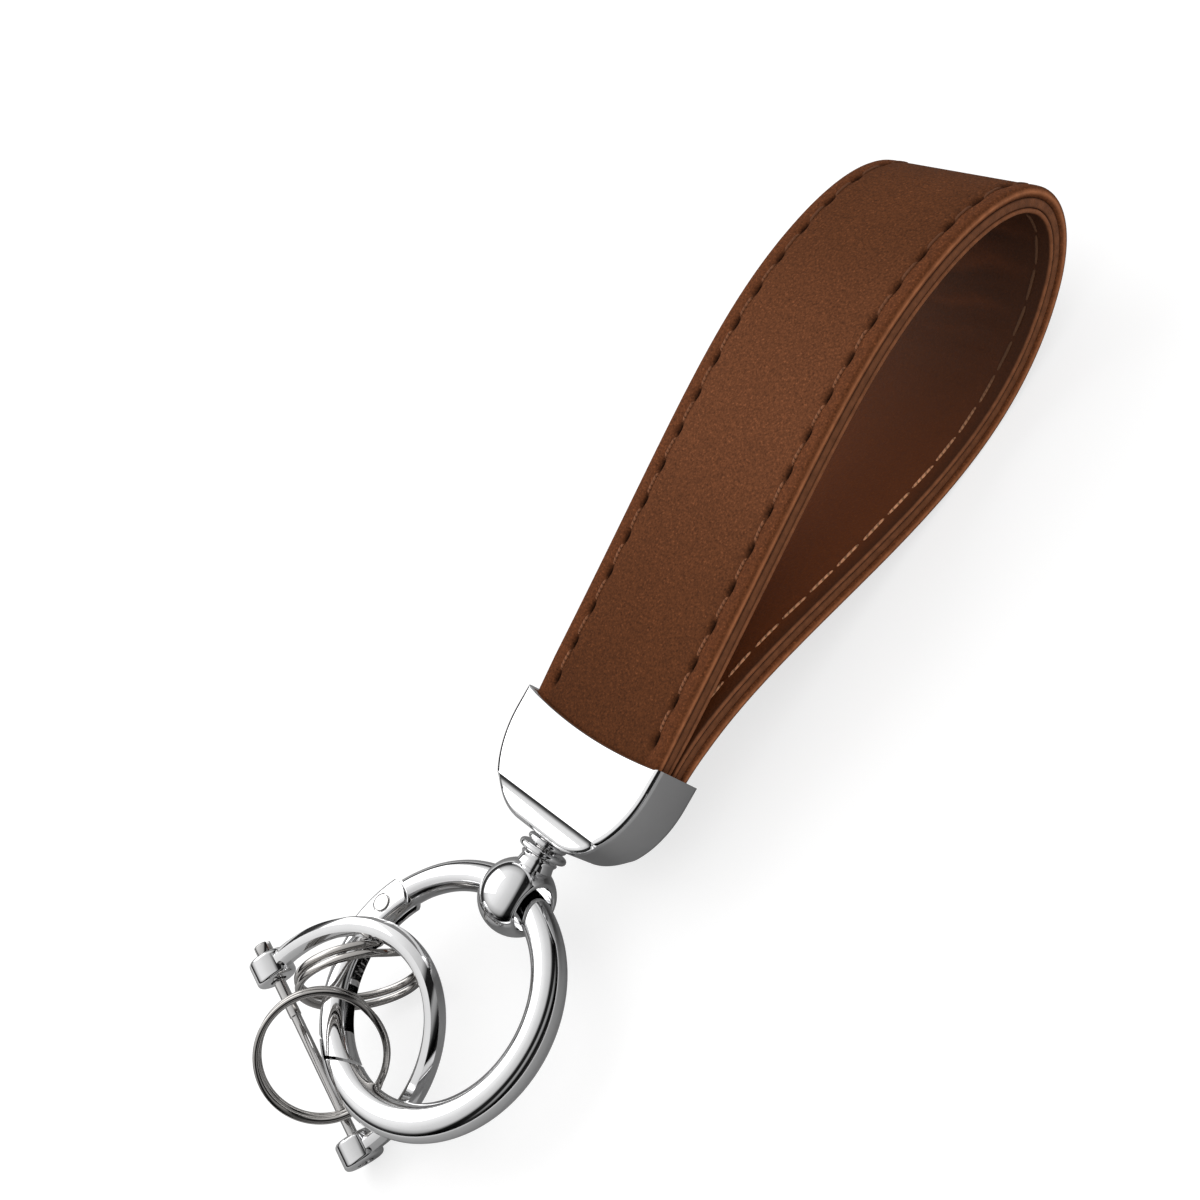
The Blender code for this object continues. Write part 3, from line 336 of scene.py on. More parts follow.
# Camera, measured in the strap's frame
CAMERA_PLACE = Vector((132.06, 12.03, 140.81)) * MM
CAMERA_RIGHT = Vector((0.606, 0.4981, -0.6202))
CAMERA_FORWARD = Vector((-0.7195, 0.0108, -0.6944))
CAMERA_LENS_MM = 45.61
CAMERA_SENSOR_MM = 36.0
CAMERA_CLIP = 10.0 * MM

# Main light: a large softbox where the cap's front face mirrors it towards the camera
KEY_DIRECTION = Vector((-0.72, 0.0, 0.69))
KEY_DISTANCE = 0.55
KEY_SIZE = 0.5
KEY_TARGET = Vector((0.0, 0.0, 10.0 * MM))

# Tones that the metal mirrors, by nearness to the main light's direction and by height
TENT_TONES = ((-1.0, 0.75), (-0.66, 0.65), (-0.54, 0.02), (-0.42, 0.02), (-0.32, 0.35), (-0.22, 0.35),
              (-0.14, 0.01), (0.1, 0.01), (0.26, 0.55), (0.6, 0.72), (0.85, 0.95), (1.0, 1.0))
HORIZON_TONES = ((-1.0, 0.04), (0.22, 0.04), (0.36, 0.65), (0.6, 1.0), (1.0, 1.0))
FLOOR_GLOW_SEEN = 0.67

# Floor that the metal mirrors: a painted shadow beside the object, pale far away
FLOOR_MIRRORED_NEAR = 0.19
FLOOR_MIRRORED_FAR = 0.75
FLOOR_FADE_START = 10.0 * MM
FLOOR_FADE_END = 300.0 * MM


def strap_frame():
    """The strap's frame in the world, from the swivel's joint."""
    across = Vector((1.0, 0.0, 0.0))
    up = across.cross(STRAP_AXIS)
    turn = Matrix((across, STRAP_AXIS, up)).transposed().to_4x4()
    return Matrix.Translation(BALL_POINT + STRAP_AXIS * BALL_CENTRE) @ turn


def euler_frame(place, turn, order="XYZ"):
    """A frame given by its place and its turns about X, Y and Z."""
    axes = {letter: Matrix.Rotation(angle, 4, letter) for letter, angle in zip("XYZ", turn)}
    first, second, third = (axes[letter] for letter in order)
    return Matrix.Translation(place) @ third @ second @ first


def ring_place(angle, radius=RING_RADIUS, height=0.0):
    """A point round the gate ring; angle 0 is at the ball."""
    return Vector((-math.sin(angle) * radius, math.cos(angle) * radius, height))


def hang_frame(angle, outward, height, turn):
    """Frame of a piece that hangs on the gate ring."""
    return RING_FRAME @ euler_frame(ring_place(angle, RING_RADIUS + outward, height), turn)


STRAP_FRAME = strap_frame()
BALL_FRAME = STRAP_FRAME @ euler_frame((0.0, -BALL_CENTRE, 0.0), (0.0, BALL_TURN, 0.0))
RING_FRAME = (BALL_FRAME @ euler_frame((0.0, 0.0, 0.0), (RING_PITCH, 0.0, RING_YAW), "ZXY")
              @ Matrix.Translation((0.0, RING_SEAT_OFFSET - RING_RADIUS, 0.0)))
SHACKLE_FRAME = hang_frame(SHACKLE_HANG_ANGLE, SHACKLE_OUTWARD_SHARE * BOW_REACH,
                           SHACKLE_HEIGHT_SHARE * BOW_REACH, SHACKLE_TURN)
SCREW_FRAME = SHACKLE_FRAME @ Matrix.Translation((BOW_REACH * math.cos(BOW_HALF_ANGLE),
                                                  BOW_HALF_WIDTH * math.sin(BOW_HALF_ANGLE), 0.0))
LAY_ALONG_Y = Matrix.Rotation(QUARTER_TURN, 4, "X")


def color_setting(title, text, color):
    """A colour that the panel offers."""
    return bpy.props.FloatVectorProperty(name=title, description=text, subtype="COLOR", size=3,
                                         min=0.0, max=1.0, default=color)


def length_setting(title, text, least, length):
    """A length that the panel offers."""
    return bpy.props.FloatProperty(name=title, description=text, subtype="DISTANCE", unit="LENGTH",
                                   min=least, default=length)


class LanyardLeather(bpy.types.PropertyGroup):
    """Colours and stitching of the strap."""
    outer_color: color_setting("Outer leather", "Colour of the strap's outer face", (0.1, 0.033, 0.012))
    # Painted light: paler outer leather halfway up the legs
    lit_leather_color: color_setting("Painted light on leather", "Paler outer leather halfway up the legs",
                                 (0.16, 0.056, 0.0235))
    margin_color: color_setting("Margin", "Redder leather outside the stitches", (0.138, 0.044, 0.0165))
    edge_color: color_setting("Edge paint", "Colour of the rounded, painted edges", (0.27, 0.098, 0.04))
    lining_color: color_setting("Lining", "Colour of the strap's inner face", (0.062, 0.0205, 0.0078))
    # Painted sheen: lighter, redder lining along both legs
    lining_sheen_color: color_setting("Painted lining sheen", "Redder lining along both legs, as a painted sheen",
                                (0.2, 0.05, 0.0105))
    core_color: color_setting("Core", "Colour of the board between the two leathers",
                              (0.045, 0.018, 0.01))
    thread_color: color_setting("Thread", "Colour of the thread on the outer face", (0.25, 0.1, 0.048))
    inner_thread_color: color_setting("Inner thread", "Colour of the thread on the lining",
                                      (0.75, 0.36, 0.19))
    stitch_pitch: length_setting("Stitch pitch", "Distance from one needle hole to the next",
                                 2.0 * MM, 5.1 * MM)
    stitch_inset: length_setting("Stitch inset", "Distance of the stitches from the strap's edge",
                                 1.0 * MM, 2.4 * MM)
    thread_radius: length_setting("Thread radius", "Half the thread's thickness", 0.05 * MM, 0.18 * MM)
    hole_depth: length_setting("Needle hole depth", "How deep the leather dips at each needle hole",
                               0.0, 0.5 * MM)


class LanyardMetal(bpy.types.PropertyGroup):
    """Finishes of the metal pieces."""
    chrome_color: color_setting("Chrome", "Colour of the polished plating", (0.93, 0.93, 0.935))
    steel_color: color_setting("Steel", "Colour of pins, screw and spring", (0.72, 0.71, 0.7))
    wire_color: color_setting("Split ring wire", "Colour of the split rings' plating",
                              (0.56, 0.54, 0.52))
    polish: bpy.props.FloatProperty(
        name="Polish roughness", description="Roughness of the smoothest chrome",
        min=0.0, max=0.5, default=0.035)


class LanyardStage(bpy.types.PropertyGroup):
    """Floor, lights and background."""
    floor_color: color_setting("Floor", "Colour of the floor", (0.45, 0.45, 0.45))
    floor_size: length_setting("Floor size", "Width of the floor", 1.0, 8.0)
    sky_strength: bpy.props.FloatProperty(
        name="Sky strength", description="Brightness of the surroundings", min=0.0, default=0.8)
    key_power: bpy.props.FloatProperty(
        name="Key power", description="Power of the main soft light, in watts", min=0.0, default=1.0)


def deselect_all():
    """Nothing stays selected, so that the next operator acts on its own piece alone."""
    if bpy.context.object and bpy.context.object.mode != "OBJECT":
        bpy.ops.object.mode_set(mode="OBJECT")
    bpy.ops.object.select_all(action="DESELECT")


def make_active(item):
    """Select one object and make it the active one."""
    deselect_all()
    item.select_set(True)
    bpy.context.view_layer.objects.active = item


def named(name):
    """Name the object that was just made, and its mesh."""
    item = bpy.context.object
    item.name = name
    item.data.name = name
    return item


def edit(item, *steps):
    """Run edit-mode steps on the whole mesh of one object."""
    make_active(item)
    bpy.ops.object.mode_set(mode="EDIT")
    bpy.ops.mesh.select_mode(type="VERT")
    bpy.ops.mesh.select_all(action="SELECT")
    for step in steps:
        step()
    bpy.ops.object.mode_set(mode="OBJECT")


def close_seams():
    """Merge the seam of a rolled sheet, drop what is left over and turn the faces outwards."""
    bpy.ops.mesh.remove_doubles(threshold=2.0 * TOLERANCE)
    bpy.ops.mesh.dissolve_degenerate(threshold=TOLERANCE)
    bpy.ops.mesh.select_all(action="SELECT")
    bpy.ops.mesh.delete_loose()
    bpy.ops.mesh.select_all(action="DESELECT")
    bpy.ops.mesh.select_non_manifold(extend=False, use_wire=False, use_boundary=True,
                                     use_multi_face=False, use_non_contiguous=False, use_verts=False)
    bpy.ops.mesh.edge_face_add()
    bpy.ops.mesh.select_all(action="SELECT")
    bpy.ops.mesh.normals_make_consistent(inside=False)


def rolled_sheet(name, around, along, place):
    """A grid whose points are set by a rule of two shares; its seams are closed."""
    deselect_all()
    bpy.ops.mesh.primitive_grid_add(x_subdivisions=around, y_subdivisions=along, size=1.0)
    item = named(name)
    for vertex in item.data.vertices:
        vertex.co = place(vertex.co.x + 0.5, vertex.co.y + 0.5)
    return item


def tube(name, around, along, place):
    """A rolled sheet that closes round itself and at its ends."""
    item = rolled_sheet(name, around, along, place)
    edit(item, close_seams)
    return item


def polygon(name, points, fill):
    """A closed line through the points, filled or not."""
    deselect_all()
    bpy.ops.mesh.primitive_circle_add(vertices=len(points), fill_type=fill)
    item = named(name)
    for vertex, point in zip(item.data.vertices, points):
        vertex.co = point
    return item


def spun(name, profile, steps=96):
    """Spin a closed profile of (radius, height) points round the Z axis."""
    item = polygon(name, [(radius, 0.0, height) for radius, height in profile], "NOTHING")

    def turn():
        bpy.ops.mesh.spin(steps=steps, dupli=False, angle=FULL_TURN, use_auto_merge=True,
                          center=(0.0, 0.0, 0.0), axis=(0.0, 0.0, 1.0))
        bpy.ops.mesh.select_all(action="SELECT")
        close_seams()

    edit(item, turn)
    return item


def rod(name, radius, half_length, corner, steps, crown=0.0):
    """A rod round the Z axis with rounded rims; its ends may swell to a crown."""
    rim = arc_points((radius - corner, half_length - corner), corner, 0.0, QUARTER_TURN, ROUND_STEP)
    profile = [(0.0, half_length + crown), (0.0, -half_length - crown)] + flipped(rim) + rim
    return spun(name, profile, steps)


def raised_outline(name, outline, low, high):
    """Extrude a closed outline in the XY plane from one height to another."""
    item = polygon(name, [(x, y, low) for x, y in outline], "NGON")

    def raise_face():
        bpy.ops.mesh.extrude_region_move(TRANSFORM_OT_translate={"value": (0.0, 0.0, high - low)})
        bpy.ops.mesh.select_all(action="SELECT")
        bpy.ops.mesh.normals_make_consistent(inside=False)

    edit(item, raise_face)
    return item


def moved(item, matrix):
    """Set the mesh itself in place, so that the object stays at the origin."""
    item.data.transform(matrix)
    item.data.update()
    return item


def block(width, length, height):
    """A block round the origin."""
    deselect_all()
    bpy.ops.mesh.primitive_cube_add(size=1.0)
    return moved(bpy.context.object, Matrix.Diagonal((width, length, height, 1.0)))


def select_edges(item, wanted):
    """Select the edges of the mesh in edit mode whose two ends pass a test."""
    bpy.ops.mesh.select_mode(type="EDGE")
    bpy.ops.mesh.select_all(action="DESELECT")
    mesh = bmesh.from_edit_mesh(item.data)
    for edge in mesh.edges:
        edge.select = wanted(edge.verts[0].co, edge.verts[1].co)
    mesh.select_flush_mode()
    bmesh.update_edit_mesh(item.data)


def apply_modifier(item, modifier):
    """Apply one modifier of an object."""
    make_active(item)
    bpy.ops.object.modifier_apply(modifier=modifier.name)


def combine(item, other, operation="DIFFERENCE"):
    """Cut, join or intersect two solids and delete the second one."""
    modifier = item.modifiers.new("Combine", "BOOLEAN")
    modifier.operation = operation
    modifier.object = other
    apply_modifier(item, modifier)
    bpy.data.objects.remove(other, do_unlink=True)


def round_edges(item, width, segments, angle):
    """Round the sharp edges and keep the flats flat in the shading."""
    modifier = item.modifiers.new("Round", "BEVEL")
    modifier.width = width
    modifier.segments = segments
    modifier.limit_method = "ANGLE"
    modifier.angle_limit = angle
    modifier.use_clamp_overlap = True
    modifier.miter_outer = "MITER_ARC"
    apply_modifier(item, modifier)


def smooth(item, angle=SPUN_SHARP_ANGLE, weighted=True):
    """Smooth shading that breaks at sharp edges."""
    make_active(item)
    bpy.ops.object.shade_smooth_by_angle(angle=angle)
    if weighted:
        modifier = item.modifiers.new("Weighted", "WEIGHTED_NORMAL")
        modifier.keep_sharp = True
        modifier.weight = FLAT_WEIGHT
        apply_modifier(item, modifier)


def finish_piece(item, material, body, slot, nodes):
    """Give a piece its material and body, and let it stand for its CAD nodes; the slot is not used."""
    item.data.materials.clear()
    item.data.materials.append(material)
    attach(item, body)
    if nodes:
        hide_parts(*nodes)
    return item


def arc_points(centre, radius, start, end, step=ARC_STEP):
    """Points on an arc from one angle to another, both ends included."""
    count = max(1, round(abs(end - start) / step))
    angles = [start + (end - start) * i / count for i in range(count + 1)]
    return [(centre[0] + radius * math.cos(a), centre[1] + radius * math.sin(a)) for a in angles]


def flipped(points):
    """The points on the other side of the first axis, in reverse order."""
    return [(x, -y) for x, y in reversed(points)]


def rounded_section(width, height, corner, steps):
    """Points of a rectangle with round corners, from its right side round to the left."""
    x, y = width / 2.0 - corner, height / 2.0 - corner
    points = []
    for quarter, (cx, cy) in enumerate(((x, y), (-x, y), (-x, -y), (x, -y))):
        start = quarter * QUARTER_TURN
        points += arc_points((cx, cy), corner, start, start + QUARTER_TURN, QUARTER_TURN / steps)
    return points


class Nodes:
    """The shader nodes of one material or world."""

    def __init__(self, tree, coordinates):
        self.tree = tree
        self.place = self.add("TexCoord").outputs[coordinates]

    def feed(self, target, source):
        """Link a socket to an input, or give the input a value or a colour."""
        if isinstance(source, bpy.types.NodeSocket):
            self.tree.links.new(source, target)
        elif target.type == "RGBA":
            target.default_value = (*source, 1.0)
        else:
            target.default_value = source

    def feed_by_name(self, node, sources):
        """Feed inputs of a node by their names, written with an underscore for each space."""
        for name, source in sources.items():
            self.feed(node.inputs[name.replace("_", " ")], source)

    def add(self, kind, *in_order, operation=None, **by_name):
        """Add a node and feed its inputs, in their order or by their names."""
        node = self.tree.nodes.new("ShaderNode" + kind)
        if operation:
            node.operation = operation
        for target, source in zip(node.inputs, in_order):
            self.feed(target, source)
        self.feed_by_name(node, by_name)
        return node

    def noise(self, size, detail=3.0, roughness=0.55, stretch=None):
        """Noise whose grains are about the given size."""
        source = self.place
        if stretch:
            source = self.add("Mapping", Vector=source, Scale=stretch).outputs["Vector"]
        return self.add("TexNoise", Vector=source, Scale=1.0 / size, Detail=detail,
                        Roughness=roughness).outputs["Fac"]

    def attribute(self, name):
        """A value that the mesh carries at each point."""
        node = self.add("Attribute")
        node.attribute_name = name
        return node.outputs["Fac"]

    def remap(self, source, low, high, to_low=0.0, to_high=1.0):
        """Stretch a range of values onto another."""
        return self.add("MapRange", source, low, high, to_low, to_high).outputs["Result"]

    def math(self, operation, first, second):
        """One calculation with two values."""
        return self.add("Math", first, second, operation=operation).outputs["Value"]

    def mix(self, factor, first, second):
        """Mix two colours."""
        node = self.add("Mix", factor)
        node.data_type = "RGBA"
        self.feed(node.inputs[6], first)
        self.feed(node.inputs[7], second)
        return node.outputs[2]

    def bump(self, height, distance, strength, under=None):
        """Fine relief from a height; a second relief may lie under it."""
        node = self.add("Bump", Height=height, Distance=distance, Strength=strength)
        if under is not None:
            self.feed(node.inputs["Normal"], under)
        return node.outputs["Normal"]


class Shader(Nodes):
    """A Principled material, built up on Object coordinates."""

    def __init__(self, name, color, roughness, metallic=0.0):
        self.material = bpy.data.materials.new(name)
        self.material.use_nodes = True
        super().__init__(self.material.node_tree, "Object")
        self.main = self.tree.nodes["Principled BSDF"]
        self.paint(Base_Color=color, Roughness=roughness, Metallic=metallic)

    def paint(self, **by_name):
        """Feed the shader itself and return its material."""
        self.feed_by_name(self.main, by_name)
        return self.material


def scaled(color, factor):
    """A colour made lighter or darker."""
    return [min(1.0, part * factor) for part in color]


def leather_material(name, body, margin, edge, lit_color, mottle=1.0, gloss=0.0):
    """Napped leather: mottled face, redder margin, smooth painted edge, painted light, highlight and
    hole shade.
    """
    shader = Shader(name, body, 0.8)
    margin_share, edge_paint_and_highlight_share, hole_shade_share, painted_light_share = map(shader.attribute, LAYER_ATTRIBUTES)
    clouds = shader.noise(CLOUD_SIZE, 3.0, 0.5)
    nap = shader.noise(NAP_SIZE, 3.0, 0.7)
    specks = shader.noise(SPECK_SIZE, 2.0, 0.5)
    streaks = shader.noise(STREAK_SIZE, 3.0, 0.5)
    cloud_share = shader.remap(clouds, 0.35, 0.65)
    cloud_gains = (1.0 - CLOUD_AMOUNT * mottle, 1.0 + CLOUD_AMOUNT * mottle)
    face = shader.mix(cloud_share, *(scaled(body, gain) for gain in cloud_gains))
    # Painted light: lit patches on the outer legs and the lining's painted sheen
    face = shader.mix(shader.math("MULTIPLY", painted_light_share, PAINTED_LIGHT_AMOUNT), face, lit_color)
    face = shader.mix(shader.math("MULTIPLY", margin_share, MARGIN_AMOUNT), face, margin)
    grain = shader.remap(nap, 0.36, 0.64, 1.0 - NAP_AMOUNT * mottle, 1.0 + NAP_AMOUNT * mottle)
    speck_gain = shader.remap(specks, 0.58, 0.72, 1.0, 1.0 + SPECK_AMOUNT * mottle)
    pit_gain = shader.remap(specks, 0.4, 0.3, 1.0, 1.0 - PIT_AMOUNT * mottle)
    gain = shader.math("MULTIPLY", shader.math("MULTIPLY", grain, speck_gain), pit_gain)
    face = shader.add("VectorMath", face, operation="SCALE", Scale=gain).outputs["Vector"]
    streak_share = shader.remap(streaks, 0.35, 0.7)
    # Edge paint, on the outer layer brightened into a painted highlight
    edge_paint_and_highlight = shader.mix(streak_share, *(scaled(edge, factor) for factor in STREAK_FACTORS))
    face = shader.mix(edge_paint_and_highlight_share, face, edge_paint_and_highlight)
    # Painted shade in the needle holes
    face = shader.mix(hole_shade_share, face, scaled(body, HOLE_SHADE_FACTOR))
    plain_rough = shader.remap(nap, 0.3, 0.7, 0.72 - gloss, 0.92 - gloss)
    edge_drop = shader.math("MULTIPLY", edge_paint_and_highlight_share, 0.45 - gloss)
    roughness = shader.math("SUBTRACT", plain_rough, edge_drop)
    shine = shader.remap(edge_paint_and_highlight_share, 0.0, 1.0, 0.06 + gloss, 0.16)
    pores = shader.add("TexVoronoi", Vector=shader.place, Scale=1.0 / PORE_SIZE)
    pores.feature = "DISTANCE_TO_EDGE"
    relief = shader.bump(pores.outputs["Distance"], PORE_DEPTH, 0.5)
    relief = shader.bump(nap, NAP_DEPTH, 0.8, relief)
    return shader.paint(Base_Color=face, Roughness=roughness, Normal=relief, Specular_IOR_Level=shine,
                        Sheen_Weight=0.02, Sheen_Roughness=0.4, Sheen_Tint=scaled(edge, 2.5))


def thread_material(name, color, bend_shade_factor):
    """Twisted thread: slanted plies with painted shade in the gaps between them, and painted shade at
    the bend.
    """
    shader = Shader(name, color, 0.65)
    twist = shader.add("TexWave", Vector=shader.place, Scale=PLY_WAVE_SHARE / PLY_WIDTH, Distortion=1.5)
    twist.bands_direction = "DIAGONAL"
    plies = twist.outputs["Fac"]
    dirt = shader.noise(DIRT_SIZE)
    # Painted shade in the gaps between plies
    ply_shade_share = shader.remap(plies, 0.0, 0.5)
    painted = shader.mix(ply_shade_share, *(scaled(color, factor) for factor in PLY_SHADE_FACTORS))
    dirt_share = shader.remap(dirt, 0.4, 0.7, 0.0, DIRT_AMOUNT)
    painted = shader.mix(dirt_share, painted, scaled(color, DIRT_FACTOR))
    # Painted shade on the thread towards the bend
    spots = [STRAP_FRAME @ Vector((0.0, share * LOOP_LENGTH, 0.0)) for share in BEND_SHADE_SPAN_SHARES]
    along = shader.add("SeparateXYZ", shader.place).outputs["Y"]
    bend_shade_share = shader.remap(along, spots[0].y, spots[1].y)
    painted = shader.mix(bend_shade_share, painted, scaled(color, bend_shade_factor))
    return shader.paint(Base_Color=painted, Roughness=shader.remap(dirt, 0.3, 0.7, 0.55, 0.8),
                        Normal=shader.bump(plies, PLY_DEPTH, 0.8), Specular_IOR_Level=0.1)


def metal_material(name, color, polish, grime=0.25):
    """Plated metal: near-mirror with faint waviness, hairline wear and dull patches."""
    shader = Shader(name, color, polish, 1.0)
    patches = shader.noise(PATCH_SIZE, 3.0, 0.6)
    hairs = shader.noise(HAIR_SIZE, 2.0, 0.5, HAIR_STRETCH)
    grime_share = shader.remap(patches, 0.3, 0.75, 0.0, grime)
    tint = shader.mix(grime_share, color, scaled(color, PATCH_TINT_FACTOR))
    rough_base = shader.remap(patches, 0.3, 0.75, polish, polish * PATCH_ROUGH_FACTOR)
    wear = shader.remap(hairs, 0.55, 0.75, 0.0, polish * HAIR_ROUGH_FACTOR)
    relief = shader.bump(patches, PATCH_DEPTH, 0.25)
    relief = shader.bump(hairs, HAIR_DEPTH, 0.35, relief)
    return shader.paint(Base_Color=tint, Roughness=shader.math("ADD", rough_base, wear), Normal=relief)


def bezier_stations(step):
    """Points of the loop's centre line at even steps: travel, point and outward normal."""
    knots = [Vector((0.0, LEG_OFFSET)), *(Vector(shares) * LOOP_LENGTH for shares in SHOULDER_SHARES),
             Vector((0.0, -LEG_OFFSET))]
    headings = [Vector((math.cos(angle), math.sin(angle))) for angle in KNOT_DIRECTIONS]
    dense = []
    for i, (leave, arrive) in enumerate(HANDLE_SHARES):
        first = knots[i] + headings[i] * leave * LOOP_LENGTH
        second = knots[i + 1] - headings[i + 1] * arrive * LOOP_LENGTH
        piece = interpolate_bezier(knots[i], first, second, knots[i + 1], BEZIER_POINTS)
        dense += piece if not dense else piece[1:]
    dense = [Vector(point[:2]) for point in dense]
    insert = Vector((STRAP_INSERT_DEPTH, 0.0))
    dense = [dense[0] - insert] + dense + [dense[-1] - insert]
    lengths = [0.0]
    for first, second in zip(dense, dense[1:]):
        lengths.append(lengths[-1] + (second - first).length)
    count = round(lengths[-1] / step)
    points = []
    index = 0
    for i in range(count + 1):
        target = lengths[-1] * i / count
        while index < len(dense) - 2 and lengths[index + 1] < target:
            index += 1
        span = lengths[index + 1] - lengths[index]
        points.append(dense[index].lerp(dense[index + 1], (target - lengths[index]) / span))
    stations = []
    for i, point in enumerate(points):
        ahead = points[min(i + 1, count)] - points[max(i - 1, 0)]
        tangent = ahead.normalized()
        travel = lengths[-1] * i / count - STRAP_INSERT_DEPTH
        stations.append((travel, point, Vector((-tangent.y, tangent.x))))
    return stations


class Loop:
    """The strap's centre line, read at any distance from the cap's mouth."""

    def __init__(self):
        self.stations = bezier_stations(STRAP_STATION_STEP)
        self.start = self.stations[0][0]
        self.length = self.stations[-1][0] - self.start
        self.visible = self.length - 2.0 * STRAP_INSERT_DEPTH

    def at(self, travel):
        """Point, outward normal and strap thickness at one distance."""
        share = (travel - self.start) / self.length * (len(self.stations) - 1)
        index = min(max(int(share), 0), len(self.stations) - 2)
        part = share - index
        _, first, first_normal = self.stations[index]
        _, second, second_normal = self.stations[index + 1]
        point = first.lerp(second, part)
        normal = first_normal.lerp(second_normal, part).normalized()
        inside = max(0.0, min(travel, self.visible - travel))
        fade = min(1.0, inside / STRAP_PARE_LENGTH)
        thickness = STRAP_END_THICKNESS + (STRAP_THICKNESS - STRAP_END_THICKNESS) * fade
        return point, normal, thickness

    def place(self, travel, across, height):
        """A point of the strap; height is measured outwards from its middle."""
        point, normal, _ = self.at(travel)
        spot = point + normal * height
        return Vector((across, spot.x, spot.y))


def layer_span(thickness, layer):
    """Top and height of one leather layer, counted from the outer face inwards."""
    start, end = LAYER_SPANS[layer]
    return thickness * (0.5 - start), thickness * (end - start)


def stitch_holes(loop, pitch):
    """Distances of the needle holes from the cap's mouth."""
    count = round((loop.visible - pitch) / pitch)
    rest = (loop.visible - count * pitch) / 2.0
    return [rest + i * pitch for i in range(count + 1)]


def bell(offset, width):
    """A smooth hump of height one."""
    return math.exp(-(offset / width) ** 2)


def layer_outline(width, corner, top_steps):
    """Section of a layer as (across, height share) points, from -0.5 to 0.5 in height."""
    half = width / 2.0
    flat = half - corner
    points = [(flat - 2.0 * flat * i / top_steps, 0.5) for i in range(top_steps + 1)]
    turns = [math.pi * i / LAYER_SIDE_STEPS for i in range(1, LAYER_SIDE_STEPS)]
    side = [(math.sin(turn), math.cos(turn)) for turn in turns]
    points += [(-flat - corner * x, 0.5 * y) for x, y in side]
    points += [(-flat + 2.0 * flat * i / BACK_FACE_STEPS, -0.5) for i in range(BACK_FACE_STEPS + 1)]
    points += [(flat + corner * x, 0.5 * y) for x, y in reversed(side)]
    return points + [points[0]]


def wrinkle(share, across):
    """Creases that the lining throws inside the bend, as height from its plain face."""
    near = bell(share - WRINKLE_CENTRE_SHARE, WRINKLE_REACH_SHARE)
    middle = bell(across, WRINKLE_WIDTH_SHARE * STRAP_WIDTH)
    phase = (WRINKLE_RATE * share + WRINKLE_SLANT * math.sin(across / MM * WRINKLE_SLANT_RATE)
             + WRINKLE_SWAY * math.sin(WRINKLE_SWAY_RATE * share))
    overtone = math.sin(WRINKLE_OVERTONE * phase + across / MM * WRINKLE_OVERTONE_SLANT)
    wave = math.sin(phase) + 0.5 * overtone
    return WRINKLE_DEPTH * near * middle * (0.5 + 0.5 * wave)


def build_layer(name, loop, layer, leather):
    """One layer of the band, dented along its stitches, with shares of margin, edge paint, painted light
    and shade.
    """
    holes = stitch_holes(loop, leather.stitch_pitch)
    seam = STRAP_WIDTH / 2.0 - leather.stitch_inset
    width = STRAP_WIDTH * LAYER_WIDTH_SHARES[layer]
    stitched_side = STITCHED_SIDES[layer]
    outline = layer_outline(width, LAYER_EDGE_ROUNDS[layer],
                            STITCHED_FACE_STEPS if stitched_side else PLAIN_FACE_STEPS)
    hole_length = OUTER_HOLE_LENGTH if layer == 0 else INNER_HOLE_LENGTH
    along = round(loop.length / STRAP_STATION_STEP)
    shares = []

    def place(u, v):
        across, side = outline[round(u * (len(outline) - 1))]
        travel = loop.start + v * loop.length
        _, _, thickness = loop.at(travel)
        top, height = layer_span(thickness, layer)
        offset = top - height / 2.0 + side * height
        hole = 0.0
        light_patch = 0.0
        if side == 0.5 * stitched_side:
            away = abs(abs(across) - seam)
            groove = bell(away, SEAM_GROOVE_WIDTH)
            nearest = min(holes, key=lambda spot: abs(spot - travel))
            # The hole dents the leather and marks painted shade in the needle hole
            hole = min(1.0, HOLE_GAIN * bell(away, HOLE_WIDTH) * bell(travel - nearest, hole_length))
            dent = groove * SEAM_GROOVE_DEPTH + hole * leather.hole_depth
            puff = MARGIN_PUFF * bell(abs(across) - (seam + width / 2.0) / 2.0, MARGIN_PUFF_WIDTH)
            offset += stitched_side * (puff - dent)
            # Lining: painted sheen along both legs, painted shade in the middle of the bend, painted
            # highlight on crease crests
            if layer == 2:
                fold = wrinkle(travel / loop.visible, across)
                offset += fold
                light_patch = 1.0 - bell(travel / loop.visible - WRINKLE_CENTRE_SHARE, SHADED_BEND_REACH_SHARE)
                light_patch = max(light_patch, WRINKLE_CREST_HIGHLIGHT * fold / WRINKLE_DEPTH)
            else:
                # Outer leather: painted light halfway up each leg
                light_patch = max(bell(travel / loop.visible - share, LIT_PATCH_REACH_SHARE)
                          for share in LIT_PATCH_SHARES)
        spot = loop.place(travel, across, offset)
        margin = min(1.0, max(0.0, (abs(across) - seam + MARGIN_BLEND) / (2.0 * MARGIN_BLEND)))
        edge = 0.0
        # Outer layer: painted highlight along the middle of its edge
        if abs(side) < 0.5 and layer == 0:
            edge = bell(side, HIGHLIGHT_RIDGE_WIDTH_SHARE)
        # Core and lining: edge paint, giving way to painted shade in the grooves at their rims
        elif abs(side) < 0.5:
            edge = 1.0 - bell(0.5 - abs(side), SHADED_GROOVE_WIDTH_SHARE)
        shares.append((spot, (margin, edge, hole, light_patch)))
        return spot

    item = rolled_sheet(name, len(outline) - 1, along, place)
    for column, title in enumerate(LAYER_ATTRIBUTES):
        item.data.attributes.new(title, "FLOAT", "POINT")
        values = [row[1][column] for row in shares]
        item.data.attributes[title].data.foreach_set("value", values)
    edit(item, close_seams)
    smooth(item, LEATHER_SHARP_ANGLE, weighted=False)
    return moved(item, STRAP_FRAME)


